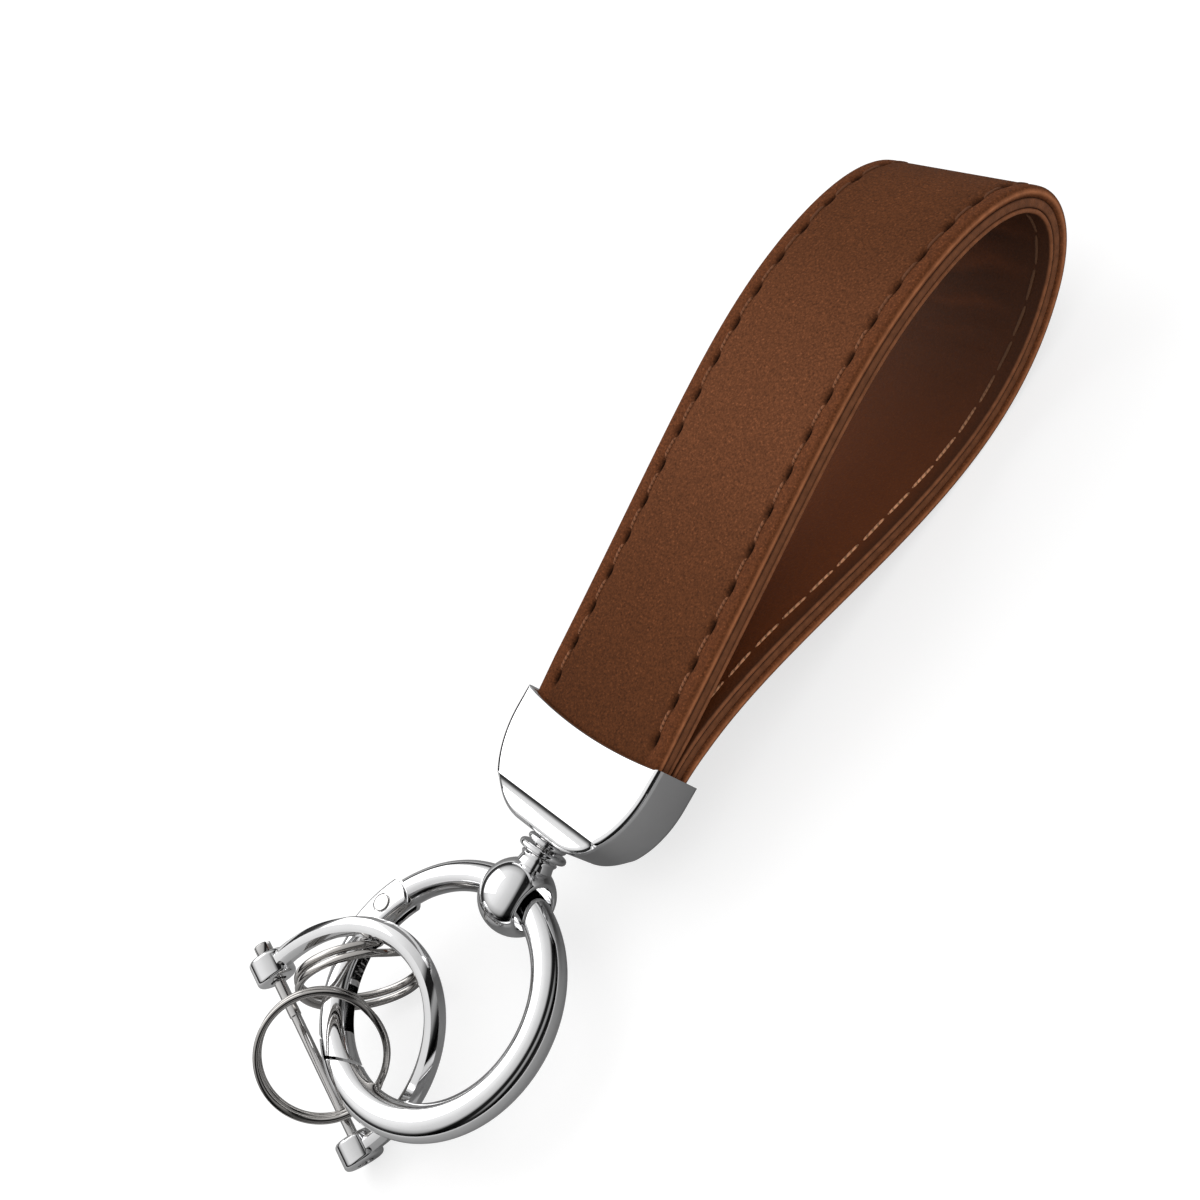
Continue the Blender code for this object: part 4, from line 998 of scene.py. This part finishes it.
def build_stitches(name, loop, layer, outside, leather):
    """Short lengths of thread between the needle holes, along both edges."""
    holes = stitch_holes(loop, leather.stitch_pitch)
    seam = STRAP_WIDTH / 2.0 - leather.stitch_inset
    sign = 1.0 if outside else -1.0
    radius = leather.thread_radius
    reach = leather.stitch_pitch * 0.5 - (OUTER_THREAD_GAP if outside else INNER_THREAD_GAP)
    depth = OUTER_THREAD_DIVE if outside else INNER_THREAD_DIVE
    stitches = []
    for edge in (-1.0, 1.0):
        for first, second in zip(holes, holes[1:]):
            middle = (first + second) / 2.0
            lean = THREAD_LEAN * math.sin(THREAD_LEAN_RATE * middle / MM + edge)

            def place(u, v):
                share = 2.0 * v - 1.0
                travel = middle + share * reach
                _, _, thickness = loop.at(travel)
                top, height = layer_span(thickness, layer)
                surface = top if outside else height - top
                fat = radius * max(0.0, 1.0 - share ** THREAD_END_POWER) ** 0.5
                dive = depth * abs(share) ** THREAD_DIVE_POWER
                turn = FULL_TURN * u
                across = edge * seam + lean * share + fat * THREAD_WIDENING * math.cos(turn)
                lift = surface - THREAD_SINK - dive + fat * math.sin(turn)
                return loop.place(travel, across, sign * lift)

            stitches.append(tube(name, *THREAD_STEPS, place))
    deselect_all()
    for item in stitches:
        item.select_set(True)
    bpy.context.view_layer.objects.active = stitches[0]
    bpy.ops.object.join()
    joined = named(name)
    smooth(joined, LEATHER_SHARP_ANGLE, weighted=False)
    return moved(joined, STRAP_FRAME)


class LANYARD_OT_strap(bpy.types.Operator):
    """Build the outer leather, the core and the lining of the strap"""
    bl_idname = "lanyard.strap"
    bl_label = "Strap"

    def execute(self, context):
        leather = context.scene.lanyard_leather
        loop = Loop()
        # Edge paints, the outer one brightened into a painted highlight; lit leather and lining sheen
        # are painted light
        edges = [scaled(leather.edge_color, factor) for factor in EDGE_PAINT_AND_HIGHLIGHT_FACTORS]
        outer = leather_material("strap_leather", leather.outer_color, leather.margin_color,
                                 edges[0], leather.lit_leather_color)
        core = leather_material("strap_board", leather.core_color, leather.core_color, edges[1],
                                leather.core_color)
        lining = leather_material("strap_lining_leather", leather.lining_color,
                                  scaled(leather.lining_color, LINING_MARGIN_FACTOR), edges[2],
                                  leather.lining_sheen_color, LINING_MOTTLE, LINING_GLOSS)
        layers = (("outer_leather", outer, "brown_leather", "strap_outer"),
                  ("core_board", core, "leather_board", "strap_core"),
                  ("lining_leather", lining, "dark_lining", "strap_lining"))
        for layer, (name, material, slot, node) in enumerate(layers):
            finish_piece(build_layer(name, loop, layer, leather), material, "strap", slot, [node])
        return {"FINISHED"}


class LANYARD_OT_stitching(bpy.types.Operator):
    """Sew both edges of the strap, on its outer face and on its lining"""
    bl_idname = "lanyard.stitching"
    bl_label = "Stitching"

    def execute(self, context):
        leather = context.scene.lanyard_leather
        loop = Loop()
        outer = thread_material("outer_thread", leather.thread_color, OUTER_BEND_SHADE_FACTOR)
        inner = thread_material("inner_thread", leather.inner_thread_color, INNER_BEND_SHADE_FACTOR)
        piece = build_stitches("stitches_outside", loop, 0, True, leather)
        finish_piece(piece, outer, "strap", "brown_leather", [])
        piece = build_stitches("stitches_inside", loop, 2, False, leather)
        finish_piece(piece, inner, "strap", "brown_leather", [])
        return {"FINISHED"}


def cap_outline():
    """Front view of the cap: hollowed top edge, straight sides, elliptic lower corners."""
    half = CAP_WIDTH / 2.0
    flat = CAP_FLAT_BOTTOM / 2.0
    corner_height = CAP_HEIGHT - CAP_STRAIGHT_SIDE
    right = []
    for step in range(CAP_CORNER_STEPS + 1):
        angle = QUARTER_TURN * step / CAP_CORNER_STEPS
        right.append((flat + (half - flat) * math.cos(angle),
                      -CAP_STRAIGHT_SIDE - corner_height * math.sin(angle)))
    top = []
    for step in range(CAP_TOP_STEPS + 1):
        share = 2.0 * step / CAP_TOP_STEPS - 1.0
        top.append((half * share, -CAP_TOP_SAG * (1.0 - share * share)))
    left = [(-x, y) for x, y in reversed(right)]
    return top + right + left


class LANYARD_OT_cap(bpy.types.Operator):
    """Build the polished cap with its creased faces and the strap's pocket"""
    bl_idname = "lanyard.cap"
    bl_label = "Cap"

    def execute(self, context):
        metal = context.scene.lanyard_metal
        half = CAP_THICKNESS / 2.0
        cap = raised_outline("cap", cap_outline(), -half, half)

        def chamfer_rims():
            for width, at_mouth in ((CAP_RIM_CHAMFER, False), (CAP_MOUTH_CHAMFER, True)):
                select_edges(cap, lambda first, second: self.on_rim(first, second, at_mouth))
                bpy.ops.mesh.bevel(offset=width, segments=3, clamp_overlap=False, miter_outer="SHARP")

        def score_crease():
            for below, _ in CAP_CREASE_SLOPES:
                bpy.ops.mesh.select_all(action="SELECT")
                bpy.ops.mesh.bisect(plane_co=(0.0, -CAP_CREASE_DEPTH - below * MM, 0.0),
                                    plane_no=(0.0, 1.0, 0.0))

        edit(cap, chamfer_rims)
        edit(cap, score_crease)
        for vertex in cap.data.vertices:
            vertex.co.z *= 1.0 - self.crease_drop(-CAP_CREASE_DEPTH - vertex.co.y) / half
        combine(cap, block(STRAP_WIDTH + 2.0 * STRAP_LAYER_GAP, 2.0 * CAP_POCKET_DEPTH,
                           CAP_THICKNESS - 2.0 * CAP_FACE_WALL))
        round_edges(cap, CAP_RIM_ROUND, 2, CAP_ROUND_ANGLE)
        smooth(cap, CAP_SHARP_ANGLE)
        moved(cap, STRAP_FRAME)
        chrome = metal_material("cap_chrome", metal.chrome_color, metal.polish)
        finish_piece(cap, chrome, "strap", "polished_chrome", ["cap_shell"])
        return {"FINISHED"}

    def crease_drop(self, below):
        """How far the face has sunk at a distance below the crease, steep at first."""
        drop = 0.0
        ends = [start for start, _ in CAP_CREASE_SLOPES[1:]] + [CAP_HEIGHT / MM]
        for (start, slope), end in zip(CAP_CREASE_SLOPES, ends):
            run = min(max(below, start * MM), end * MM) - start * MM
            drop += run * math.tan(slope * DEGREE)
        return drop

    def on_rim(self, first, second, at_mouth):
        """Whether an edge runs round a broad face, along the mouth or along the rest."""
        if abs(abs(first.z) - CAP_THICKNESS / 2.0) > TOLERANCE or abs(first.z - second.z) > TOLERANCE:
            return False
        return at_mouth == all(self.on_mouth(point) for point in (first, second))

    def on_mouth(self, point):
        """Whether a point lies on the hollowed top edge."""
        share = 2.0 * point.x / CAP_WIDTH
        return abs(point.y + CAP_TOP_SAG * (1.0 - share * share)) < 10.0 * TOLERANCE


def round_washer(name, radius, low, thickness):
    """A flat ring round the rivet, whose outer rim is fully round."""
    half = thickness / 2.0
    rim = arc_points((radius - half, low + half), half, -QUARTER_TURN, QUARTER_TURN, ROUND_STEP)
    profile = [(RIVET_HOLE_RADIUS, low)] + rim + [(RIVET_HOLE_RADIUS, low + thickness)]
    return moved(spun(name, profile), LAY_ALONG_Y)


class LANYARD_OT_swivel(bpy.types.Operator):
    """Build the collar, the flange and the pierced ball with its neck"""
    bl_idname = "lanyard.swivel"
    bl_label = "Swivel"

    def execute(self, context):
        metal = context.scene.lanyard_metal
        chrome = metal_material("swivel_chrome", metal.chrome_color, metal.polish)
        collar = round_washer("collar", COLLAR_RADIUS, COLLAR_LOW, COLLAR_THICKNESS)
        smooth(collar)
        finish_piece(moved(collar, STRAP_FRAME), chrome, "strap", "polished_chrome", ["swivel_collar"])
        flange = round_washer("flange", FLANGE_RADIUS, FLANGE_LOW - BALL_CENTRE, FLANGE_THICKNESS)
        smooth(flange)
        finish_piece(moved(flange, BALL_FRAME), chrome, "swivel", "polished_chrome", ["swivel_flange"])

        lip_radius = BALL_HOLE_RADIUS + BALL_LIP_ROUND
        lip_height = math.sqrt((BALL_RADIUS - BALL_LIP_ROUND) ** 2 - lip_radius ** 2)
        lip_turn = math.atan2(lip_height, lip_radius)
        rim = arc_points((lip_radius, lip_height), BALL_LIP_ROUND, math.pi, lip_turn, LIP_STEP)
        globe = arc_points((0.0, 0.0), BALL_RADIUS, lip_turn, -lip_turn, GLOBE_STEP)
        profile = rim + globe[1:-1] + flipped(rim)
        ball = moved(spun("ball", profile, steps=128), Matrix.Rotation(QUARTER_TURN, 4, "Y"))
        low = NECK_LOW - BALL_CENTRE
        meet = -math.sqrt(BALL_RADIUS ** 2 - NECK_RADIUS ** 2) + NECK_SINK
        profile = [(RIVET_HOLE_RADIUS, low), (NECK_RADIUS - SMALL_ROUND, low),
                   (NECK_RADIUS, low + SMALL_ROUND), (NECK_RADIUS, low + NECK_RIM),
                   (NECK_WAIST_RADIUS, low + NECK_WAIST_LOW), (NECK_WAIST_RADIUS, low + NECK_WAIST_HIGH),
                   (NECK_RADIUS, meet - NECK_FLARE_LENGTH), (NECK_RADIUS + NECK_FLARE, meet),
                   (RIVET_HOLE_RADIUS, meet)]
        neck = moved(spun("neck", profile), LAY_ALONG_Y)
        combine(ball, neck, "UNION")
        smooth(ball, METAL_SHARP_ANGLE)
        finish_piece(moved(ball, BALL_FRAME), chrome, "swivel", "polished_chrome", ["swivel_ball"])
        return {"FINISHED"}


def ring_tube_radius(angle):
    """The tube swells opposite the gate."""
    wave = (1.0 + math.cos(angle - RING_SWELL_ANGLE)) / 2.0
    return RING_TUBE_RADIUS + RING_TUBE_SWELL * wave ** RING_SWELL_SHARPNESS


def superellipse(angle, half_x, half_y, squareness):
    """A point on an oval that turns squarer as its power grows."""
    c, s = math.cos(angle), math.sin(angle)
    power = 2.0 / squareness
    return (math.copysign(abs(c) ** power * half_x, c), math.copysign(abs(s) ** power * half_y, s))


def ring_tube(name, with_knuckle):
    """The whole ring, with the square hinge block of the gate if asked for."""
    def place(u, v):
        angle = FULL_TURN * v
        half_x = half_y = ring_tube_radius(angle)
        squareness = 2.0
        if with_knuckle:
            share = (KNUCKLE_REACH + KNUCKLE_BLEND - abs(angle - HINGE_ANGLE)) / KNUCKLE_BLEND
            share = min(1.0, max(0.0, share))
            half_x += (KNUCKLE_HALF_WIDTH - half_x) * share
            half_y += (KNUCKLE_HALF_DEPTH - half_y) * share
            squareness += (KNUCKLE_SQUARENESS - squareness) * share
        out, up = superellipse(FULL_TURN * u, half_x, half_y, squareness)
        return ring_place(angle, RING_RADIUS + out, up)

    return tube(name, *RING_STEPS, place)


def band_points(radius, start, end):
    """Points round the ring at one radius."""
    return arc_points((0.0, 0.0), radius, start + QUARTER_TURN, end + QUARTER_TURN)


def hinge_arc(radius, ball_side):
    """Half circle round the hinge, from its outer to its inner point, on either side."""
    outward = HINGE_ANGLE + QUARTER_TURN
    sweep = -math.pi if ball_side else math.pi
    return arc_points(ring_place(HINGE_ANGLE), radius, outward, outward + sweep, HINGE_STEP)


def nose_points(gap, inner, outer):
    """Joint between gate and ring, from the outer side inwards; a gap draws it back."""
    lip_radius = RING_RADIUS + ring_tube_radius(NOSE_ANGLE) - NOSE_LIP_THICKNESS - gap
    backward = gap / RING_RADIUS
    lip_start = NOSE_ANGLE - NOSE_LIP_LENGTH - backward
    lip_end = NOSE_ANGLE - backward
    drift = (lip_radius - inner) * math.tan(NOSE_SLANT) / RING_RADIUS
    lip_drift = (outer - lip_radius) * math.tan(NOSE_SLANT) / RING_RADIUS
    points = [ring_place(lip_start - lip_drift, outer), ring_place(lip_start, lip_radius),
              ring_place(lip_end, lip_radius), ring_place(lip_end + drift, inner)]
    return [(point.x, point.y) for point in points], lip_start - lip_drift, lip_end + drift


def gate_outline(gap, ends):
    """Outline of the gate in the ring's plane, from its hinge round to its nose."""
    inner = RING_RADIUS - 2.0 * RING_TUBE_RADIUS
    outer = RING_RADIUS + 2.0 * RING_TUBE_RADIUS
    nose, lip_start, inner_end = nose_points(gap, inner, outer)
    outline = ends + band_points(inner, HINGE_ANGLE, inner_end)[:-1]
    outline += list(reversed(nose))
    return outline + band_points(outer, lip_start, HINGE_ANGLE)[1:]


class LANYARD_OT_gate_ring(bpy.types.Operator):
    """Build the ring body, its spring gate and the hinge pin"""
    bl_idname = "lanyard.gate_ring"
    bl_label = "Gate ring"

    def execute(self, context):
        metal = context.scene.lanyard_metal
        chrome = metal_material("ring_chrome", metal.chrome_color, metal.polish)
        steel = metal_material("pin_steel", metal.steel_color, metal.polish * 2.0, grime=0.4)
        top = RING_TUBE_RADIUS + RING_TUBE_SWELL + OVERRUN
        half_tongue = TONGUE_THICKNESS / 2.0
        slot_half = half_tongue + RUNNING_GAP
        hinge = ring_place(HINGE_ANGLE)

        body = ring_tube("ring", False)
        room = arc_points(hinge, KNUCKLE_RADIUS + RUNNING_GAP, 0.0, FULL_TURN, HINGE_STEP)[:-1]
        combine(body, raised_outline("room_above", room, half_tongue, top))
        combine(body, raised_outline("room_below", room, -top, -half_tongue))
        mouth = gate_outline(0.0, hinge_arc(TONGUE_END_RADIUS, ball_side=False))
        combine(body, raised_outline("mouth", mouth, -top, top))
        round_edges(body, METAL_EDGE_ROUND, 2, METAL_SHARP_ANGLE)
        smooth(body, METAL_SHARP_ANGLE)
        finish_piece(moved(body, RING_FRAME), chrome, "gate_ring", "polished_chrome", ["ring_body"])

        gate = ring_tube("gate_arm", True)
        blank = gate_outline(RUNNING_GAP, hinge_arc(KNUCKLE_RADIUS, ball_side=True))
        combine(gate, raised_outline("blank", blank, -top, top), "INTERSECT")
        slot = hinge_arc(KNUCKLE_RADIUS + OVERRUN, ball_side=True)
        slot += list(reversed(hinge_arc(TONGUE_END_RADIUS + RUNNING_GAP, ball_side=False)))
        combine(gate, raised_outline("fork", slot, -slot_half, slot_half))
        web = RING_RADIUS + RING_TUBE_RADIUS - CHANNEL_WEB
        inner = RING_RADIUS - 2.0 * RING_TUBE_RADIUS
        stop_end = CHANNEL_STOP_ANGLE + CHANNEL_STOP_LENGTH
        for start, end in ((HINGE_ANGLE, CHANNEL_STOP_ANGLE), (stop_end, CHANNEL_END_ANGLE)):
            channel = band_points(web, start, end) + band_points(inner, end, start)
            combine(gate, raised_outline("channel", channel, -slot_half, slot_half))
        rim = GATE_PIN_RADIUS + PIN_GROOVE_WIDTH
        bore = GATE_PIN_RADIUS + PIN_BORE_GAP
        floor = KNUCKLE_HALF_DEPTH - PIN_GROOVE_DEPTH
        half = [(bore, floor), (rim, floor), (rim, top), (0.0, top)]
        combine(gate, moved(spun("pin_bore", flipped(half) + half, steps=64), Matrix.Translation(hinge)))
        round_edges(gate, METAL_EDGE_ROUND, 2, METAL_SHARP_ANGLE)
        smooth(gate, METAL_SHARP_ANGLE)
        finish_piece(moved(gate, RING_FRAME), chrome, "gate", "polished_chrome", ["gate"])

        pin = rod("hinge_pin", GATE_PIN_RADIUS, KNUCKLE_HALF_DEPTH + GATE_PIN_PROUD, GATE_PIN_PROUD,
                  steps=64, crown=GATE_PIN_CROWN)
        smooth(moved(pin, Matrix.Translation(hinge)))
        finish_piece(moved(pin, RING_FRAME), steel, "gate_ring", "bright_steel", ["gate_pin"])
        return {"FINISHED"}


def bow_point(angle):
    """A point of the bow's centre line, which is part of an oval."""
    return Vector((BOW_REACH * math.cos(angle), BOW_HALF_WIDTH * math.sin(angle)))


class LANYARD_OT_shackle(bpy.types.Operator):
    """Build the shackle's bow with its ears, and the screw pin"""
    bl_idname = "lanyard.shackle"
    bl_label = "Shackle"

    def execute(self, context):
        metal = context.scene.lanyard_metal
        chrome = metal_material("shackle_chrome", metal.chrome_color, metal.polish)
        steel = metal_material("screw_steel", metal.steel_color, metal.polish * 2.0, grime=0.4)
        section = rounded_section(BOW_DEPTH, BOW_WIDTH, BOW_CORNER, 1)

        def place(u, v):
            angle = BOW_HALF_ANGLE * (2.0 * v - 1.0)
            middle = bow_point(angle)
            normal = Vector((BOW_HALF_WIDTH * math.cos(angle), BOW_REACH * math.sin(angle))).normalized()
            out, up = section[round(u * len(section)) % len(section)]
            return Vector((middle.x + normal.x * out, middle.y + normal.y * out, up))

        bow = tube("bow", len(section), BOW_STEPS, place)
        pin_x, ear_y = bow_point(BOW_HALF_ANGLE)
        half = EAR_LENGTH / 2.0
        for side in (1.0, -1.0):
            ear = moved(rod("ear", EAR_RADIUS, half, EAR_ROUND, steps=72), LAY_ALONG_Y)
            combine(bow, moved(ear, Matrix.Translation((pin_x, side * ear_y, 0.0))), "UNION")
        reach = ear_y + EAR_LENGTH
        hole_radius = SCREW_RADIUS + RUNNING_GAP
        profile = [(0.0, -reach), (hole_radius, -reach), (hole_radius, reach), (0.0, reach)]
        hole = moved(spun("screw_hole", profile, steps=48), LAY_ALONG_Y)
        combine(bow, moved(hole, Matrix.Translation((pin_x, 0.0, 0.0))))
        round_edges(bow, METAL_EDGE_ROUND, 3, BOW_ROUND_ANGLE)
        smooth(bow, METAL_SHARP_ANGLE)
        finish_piece(moved(bow, SHACKLE_FRAME), chrome, "shackle", "polished_chrome", ["shackle_bow"])

        head_low = half + RUNNING_GAP
        head_high = head_low + SCREW_HEAD_LENGTH
        shoulder = half - SCREW_THICK_LENGTH
        tip = half + SMALL_ROUND - 2.0 * ear_y - EAR_LENGTH
        profile = [(0.0, tip), (SCREW_THIN_RADIUS - SMALL_ROUND, tip),
                   (SCREW_THIN_RADIUS, tip + SMALL_ROUND), (SCREW_THIN_RADIUS, shoulder - SMALL_ROUND),
                   (SCREW_RADIUS, shoulder), (SCREW_RADIUS, head_low), (SCREW_HEAD_RADIUS, head_low),
                   (SCREW_HEAD_RADIUS, head_high - SMALL_ROUND),
                   (SCREW_HEAD_RADIUS - SMALL_ROUND, head_high), (0.0, head_high)]
        screw = spun("screw", profile, steps=56)
        slot = block(2.0 * SCREW_HEAD_RADIUS + OVERRUN, SCREW_SLOT, 2.0 * SCREW_SLOT)
        combine(screw, moved(slot, Matrix.Translation((0.0, 0.0, head_high))))
        round_edges(screw, SCREW_EDGE_ROUND, 2, METAL_SHARP_ANGLE)
        smooth(screw)
        moved(screw, Matrix.Rotation(-QUARTER_TURN, 4, "X"))
        finish_piece(moved(screw, SCREW_FRAME), steel, "screw", "bright_steel", ["shackle_screw"])
        return {"FINISHED"}


def build_split_ring(name, matrix):
    """Two turns of flat wire with pointed ends; one short crossover joins the turns."""
    section = rounded_section(SPLIT_WIRE_WIDTH, SPLIT_WIRE_HEIGHT, SPLIT_WIRE_CORNER, 3)
    start = SPLIT_CROSSOVER
    end = 2.0 * FULL_TURN - SPLIT_CROSSOVER
    pitch = SPLIT_WIRE_HEIGHT + SPLIT_COIL_GAP

    def place(u, v):
        angle = start + (end - start) * v
        climb = (angle - (FULL_TURN - SPLIT_CROSSOVER)) / (2.0 * SPLIT_CROSSOVER)
        climb = min(1.0, max(0.0, climb))
        height = pitch * (climb * climb * (3.0 - 2.0 * climb) - 0.5)
        point = min(1.0, min(angle - start, end - angle) / SPLIT_POINT_LENGTH)
        out, up = section[round(u * len(section)) % len(section)]
        out *= SPLIT_POINT_WIDTH_SHARE + (1.0 - SPLIT_POINT_WIDTH_SHARE) * point ** SPLIT_POINT_BLUNTNESS
        up *= SPLIT_POINT_HEIGHT_SHARE + (1.0 - SPLIT_POINT_HEIGHT_SHARE) * point
        radius = SPLIT_RADIUS + out
        return Vector((math.cos(angle) * radius, math.sin(angle) * radius, height + up))

    item = tube(name, len(section), SPLIT_STEPS, place)
    smooth(item, WIRE_SHARP_ANGLE)
    return moved(item, matrix)


class LANYARD_OT_split_rings(bpy.types.Operator):
    """Build the two split rings"""
    bl_idname = "lanyard.split_rings"
    bl_label = "Split rings"

    def execute(self, context):
        metal = context.scene.lanyard_metal
        wire = metal_material("split_ring_plating", metal.wire_color, metal.polish * 2.0, grime=0.5)
        pieces = (("split_ring_front", "split_front", FRONT_SPLIT_PLACE, FRONT_SPLIT_TURN),
                  ("split_ring_rear", "split_rear", REAR_SPLIT_PLACE, REAR_SPLIT_TURN))
        for node, body, (angle, outward, height), turn in pieces:
            matrix = hang_frame(angle, outward * SPLIT_RADIUS, height * SPLIT_RADIUS, turn)
            item = build_split_ring(node.replace("split_ring", "key_ring"), matrix)
            finish_piece(item, wire, body, "bright_steel", [node])
        return {"FINISHED"}


class LANYARD_OT_inner_parts(bpy.types.Operator):
    """Finish the rivet, the retaining pins, the spring and its plunger"""
    bl_idname = "lanyard.inner_parts"
    bl_label = "Inner parts"

    def execute(self, context):
        metal = context.scene.lanyard_metal
        steel = metal_material("inner_steel", metal.steel_color, metal.polish * 3.0, grime=0.5)
        for node in ("swivel_rivet", "retaining_pin_left", "retaining_pin_right", "gate_spring",
                     "gate_plunger"):
            item = frame["nodes"][node]
            item.data.materials.clear()
            item.data.materials.append(steel)
        return {"FINISHED"}


def add_area_light(name, place, target, size, power):
    """A square soft light that faces the object."""
    deselect_all()
    bpy.ops.object.light_add(type="AREA", location=place)
    light = bpy.context.object
    light.name = name
    light.data.shape = "SQUARE"
    light.data.size = size
    light.data.energy = power
    light.rotation_mode = "QUATERNION"
    light.rotation_quaternion = (target - place).to_track_quat("-Z", "Y")
    return light


class LANYARD_OT_stage(bpy.types.Operator):
    """Set up the floor, the lights, the surroundings and the camera"""
    bl_idname = "lanyard.stage"
    bl_label = "Stage"

    def execute(self, context):
        stage = context.scene.lanyard_stage
        scene = context.scene
        scene.view_settings.view_transform = "Standard"
        turn = STRAP_FRAME.to_3x3()
        right = turn @ CAMERA_RIGHT.normalized()
        forward = turn @ CAMERA_FORWARD.normalized()
        up = right.cross(forward)

        deselect_all()
        bpy.ops.object.camera_add(location=STRAP_FRAME @ CAMERA_PLACE)
        camera = bpy.context.object
        camera.rotation_mode = "QUATERNION"
        camera.rotation_quaternion = Matrix((right, up, -forward)).transposed().to_quaternion()
        camera.data.lens = CAMERA_LENS_MM
        camera.data.sensor_width = CAMERA_SENSOR_MM
        camera.data.clip_start = CAMERA_CLIP
        scene.camera = camera

        deselect_all()
        bpy.ops.mesh.primitive_plane_add(size=stage.floor_size)
        floor = bpy.context.object
        floor.name = "floor"
        floor.data.materials.append(self.floor_material(stage.floor_color))

        key_place = KEY_TARGET + turn @ KEY_DIRECTION.normalized() * KEY_DISTANCE
        add_area_light("key_light", key_place, KEY_TARGET, KEY_SIZE, stage.key_power)
        self.surroundings(scene, stage.sky_strength)
        return {"FINISHED"}

    def floor_material(self, color):
        """A floor that the camera sees white and the metal mirrors with a painted shadow beside the
        object.
        """
        shader = Shader("floor_paper", color, 0.9)
        path = shader.add("LightPath")
        # Painted shadow beside the object, seen only in the metal's reflections
        reach = shader.add("VectorMath", shader.place, operation="LENGTH").outputs["Value"]
        far_share = shader.remap(reach, FLOOR_FADE_START, FLOOR_FADE_END)
        fade = shader.mix(far_share, (FLOOR_MIRRORED_NEAR,) * 3, (FLOOR_MIRRORED_FAR,) * 3)
        grain_share = shader.remap(shader.noise(PAPER_GRAIN, 2.0), 0.3, 0.7)
        tint = shader.mix(grain_share, scaled(color, PAPER_FACTOR), color)
        tint = shader.mix(path.outputs["Is Glossy Ray"], tint, fade)
        seen = shader.math("MULTIPLY", path.outputs["Is Camera Ray"], FLOOR_GLOW_SEEN)
        glow = shader.add("Emission", Color=(1.0, 1.0, 1.0), Strength=seen)
        both = shader.add("AddShader", shader.main.outputs["BSDF"], glow.outputs["Emission"])
        shader.feed(shader.tree.nodes["Material Output"].inputs["Surface"], both.outputs["Shader"])
        return shader.paint(Base_Color=tint, Specular_IOR_Level=0.0)

    def surroundings(self, scene, strength):
        """Even light on the leather, and a white tent in a dark room for the metal to mirror."""
        scene.world = bpy.data.worlds.new("studio_tent")
        scene.world.use_nodes = True
        room = Nodes(scene.world.node_tree, "Generated")
        key = STRAP_FRAME.to_3x3() @ KEY_DIRECTION.normalized()
        towards_key = room.add("VectorMath", room.place, key, operation="DOT_PRODUCT").outputs["Value"]
        height = room.add("SeparateXYZ", room.place).outputs["Z"]
        tent = self.tones_along(room, towards_key, TENT_TONES)
        tent = room.math("MULTIPLY", tent, self.tones_along(room, height, HORIZON_TONES))
        path = room.add("LightPath")
        lit = room.add("Mix", path.outputs["Is Glossy Ray"], A=strength, B=tent).outputs["Result"]
        seen = room.add("Mix", path.outputs["Is Camera Ray"], A=lit, B=1.0).outputs["Result"]
        room.feed_by_name(room.tree.nodes["Background"], {"Color": (1.0, 1.0, 1.0), "Strength": seen})

    def tones_along(self, room, value, tones):
        """Grey tones set out along a value that runs from -1 to 1."""
        curve = room.add("FloatCurve", Value=room.remap(value, -1.0, 1.0))
        points = curve.mapping.curves[0].points
        for index, (spot, tone) in enumerate(tones):
            place = ((spot + 1.0) / 2.0, tone)
            if index in (0, len(tones) - 1):
                points[0 if index == 0 else len(points) - 1].location = place
            else:
                points.new(*place)
        for point in points:
            point.handle_type = "VECTOR"
        curve.mapping.update()
        return curve.outputs["Value"]


class LANYARD_PT_panel(bpy.types.Panel):
    """Sizes, colours and pieces of the keychain lanyard"""
    bl_idname = "LANYARD_PT_panel"
    bl_label = "Keychain Lanyard"
    bl_space_type = "VIEW_3D"
    bl_region_type = "UI"
    bl_category = "Lanyard"

    def draw(self, context):
        for title in SETTINGS:
            group = getattr(context.scene, title)
            box = self.layout.box()
            for name in group.bl_rna.properties.keys():
                if name not in {"rna_type", "name"}:
                    box.prop(group, name)
        column = self.layout.column(align=True)
        for operator in OPERATORS:
            column.operator(operator.bl_idname)


OPERATORS = (LANYARD_OT_strap, LANYARD_OT_stitching, LANYARD_OT_cap, LANYARD_OT_swivel,
             LANYARD_OT_gate_ring, LANYARD_OT_shackle, LANYARD_OT_split_rings, LANYARD_OT_inner_parts,
             LANYARD_OT_stage)
SETTINGS = {"lanyard_leather": LanyardLeather, "lanyard_metal": LanyardMetal,
            "lanyard_stage": LanyardStage}
CLASSES = (*SETTINGS.values(), *OPERATORS, LANYARD_PT_panel)


def register():
    """Register the classes and hang the settings on the scene."""
    for entry in CLASSES:
        bpy.utils.register_class(entry)
    for name, group in SETTINGS.items():
        setattr(bpy.types.Scene, name, bpy.props.PointerProperty(type=group))


def unregister():
    """Remove the settings and the classes."""
    for name in SETTINGS:
        delattr(bpy.types.Scene, name)
    for entry in reversed(CLASSES):
        bpy.utils.unregister_class(entry)


def main():
    """Build every piece in order."""
    register()
    bpy.ops.lanyard.strap()
    bpy.ops.lanyard.stitching()
    bpy.ops.lanyard.cap()
    bpy.ops.lanyard.swivel()
    bpy.ops.lanyard.gate_ring()
    bpy.ops.lanyard.shackle()
    bpy.ops.lanyard.split_rings()
    bpy.ops.lanyard.inner_parts()
    bpy.ops.lanyard.stage()


if __name__ == "__main__":
    main()
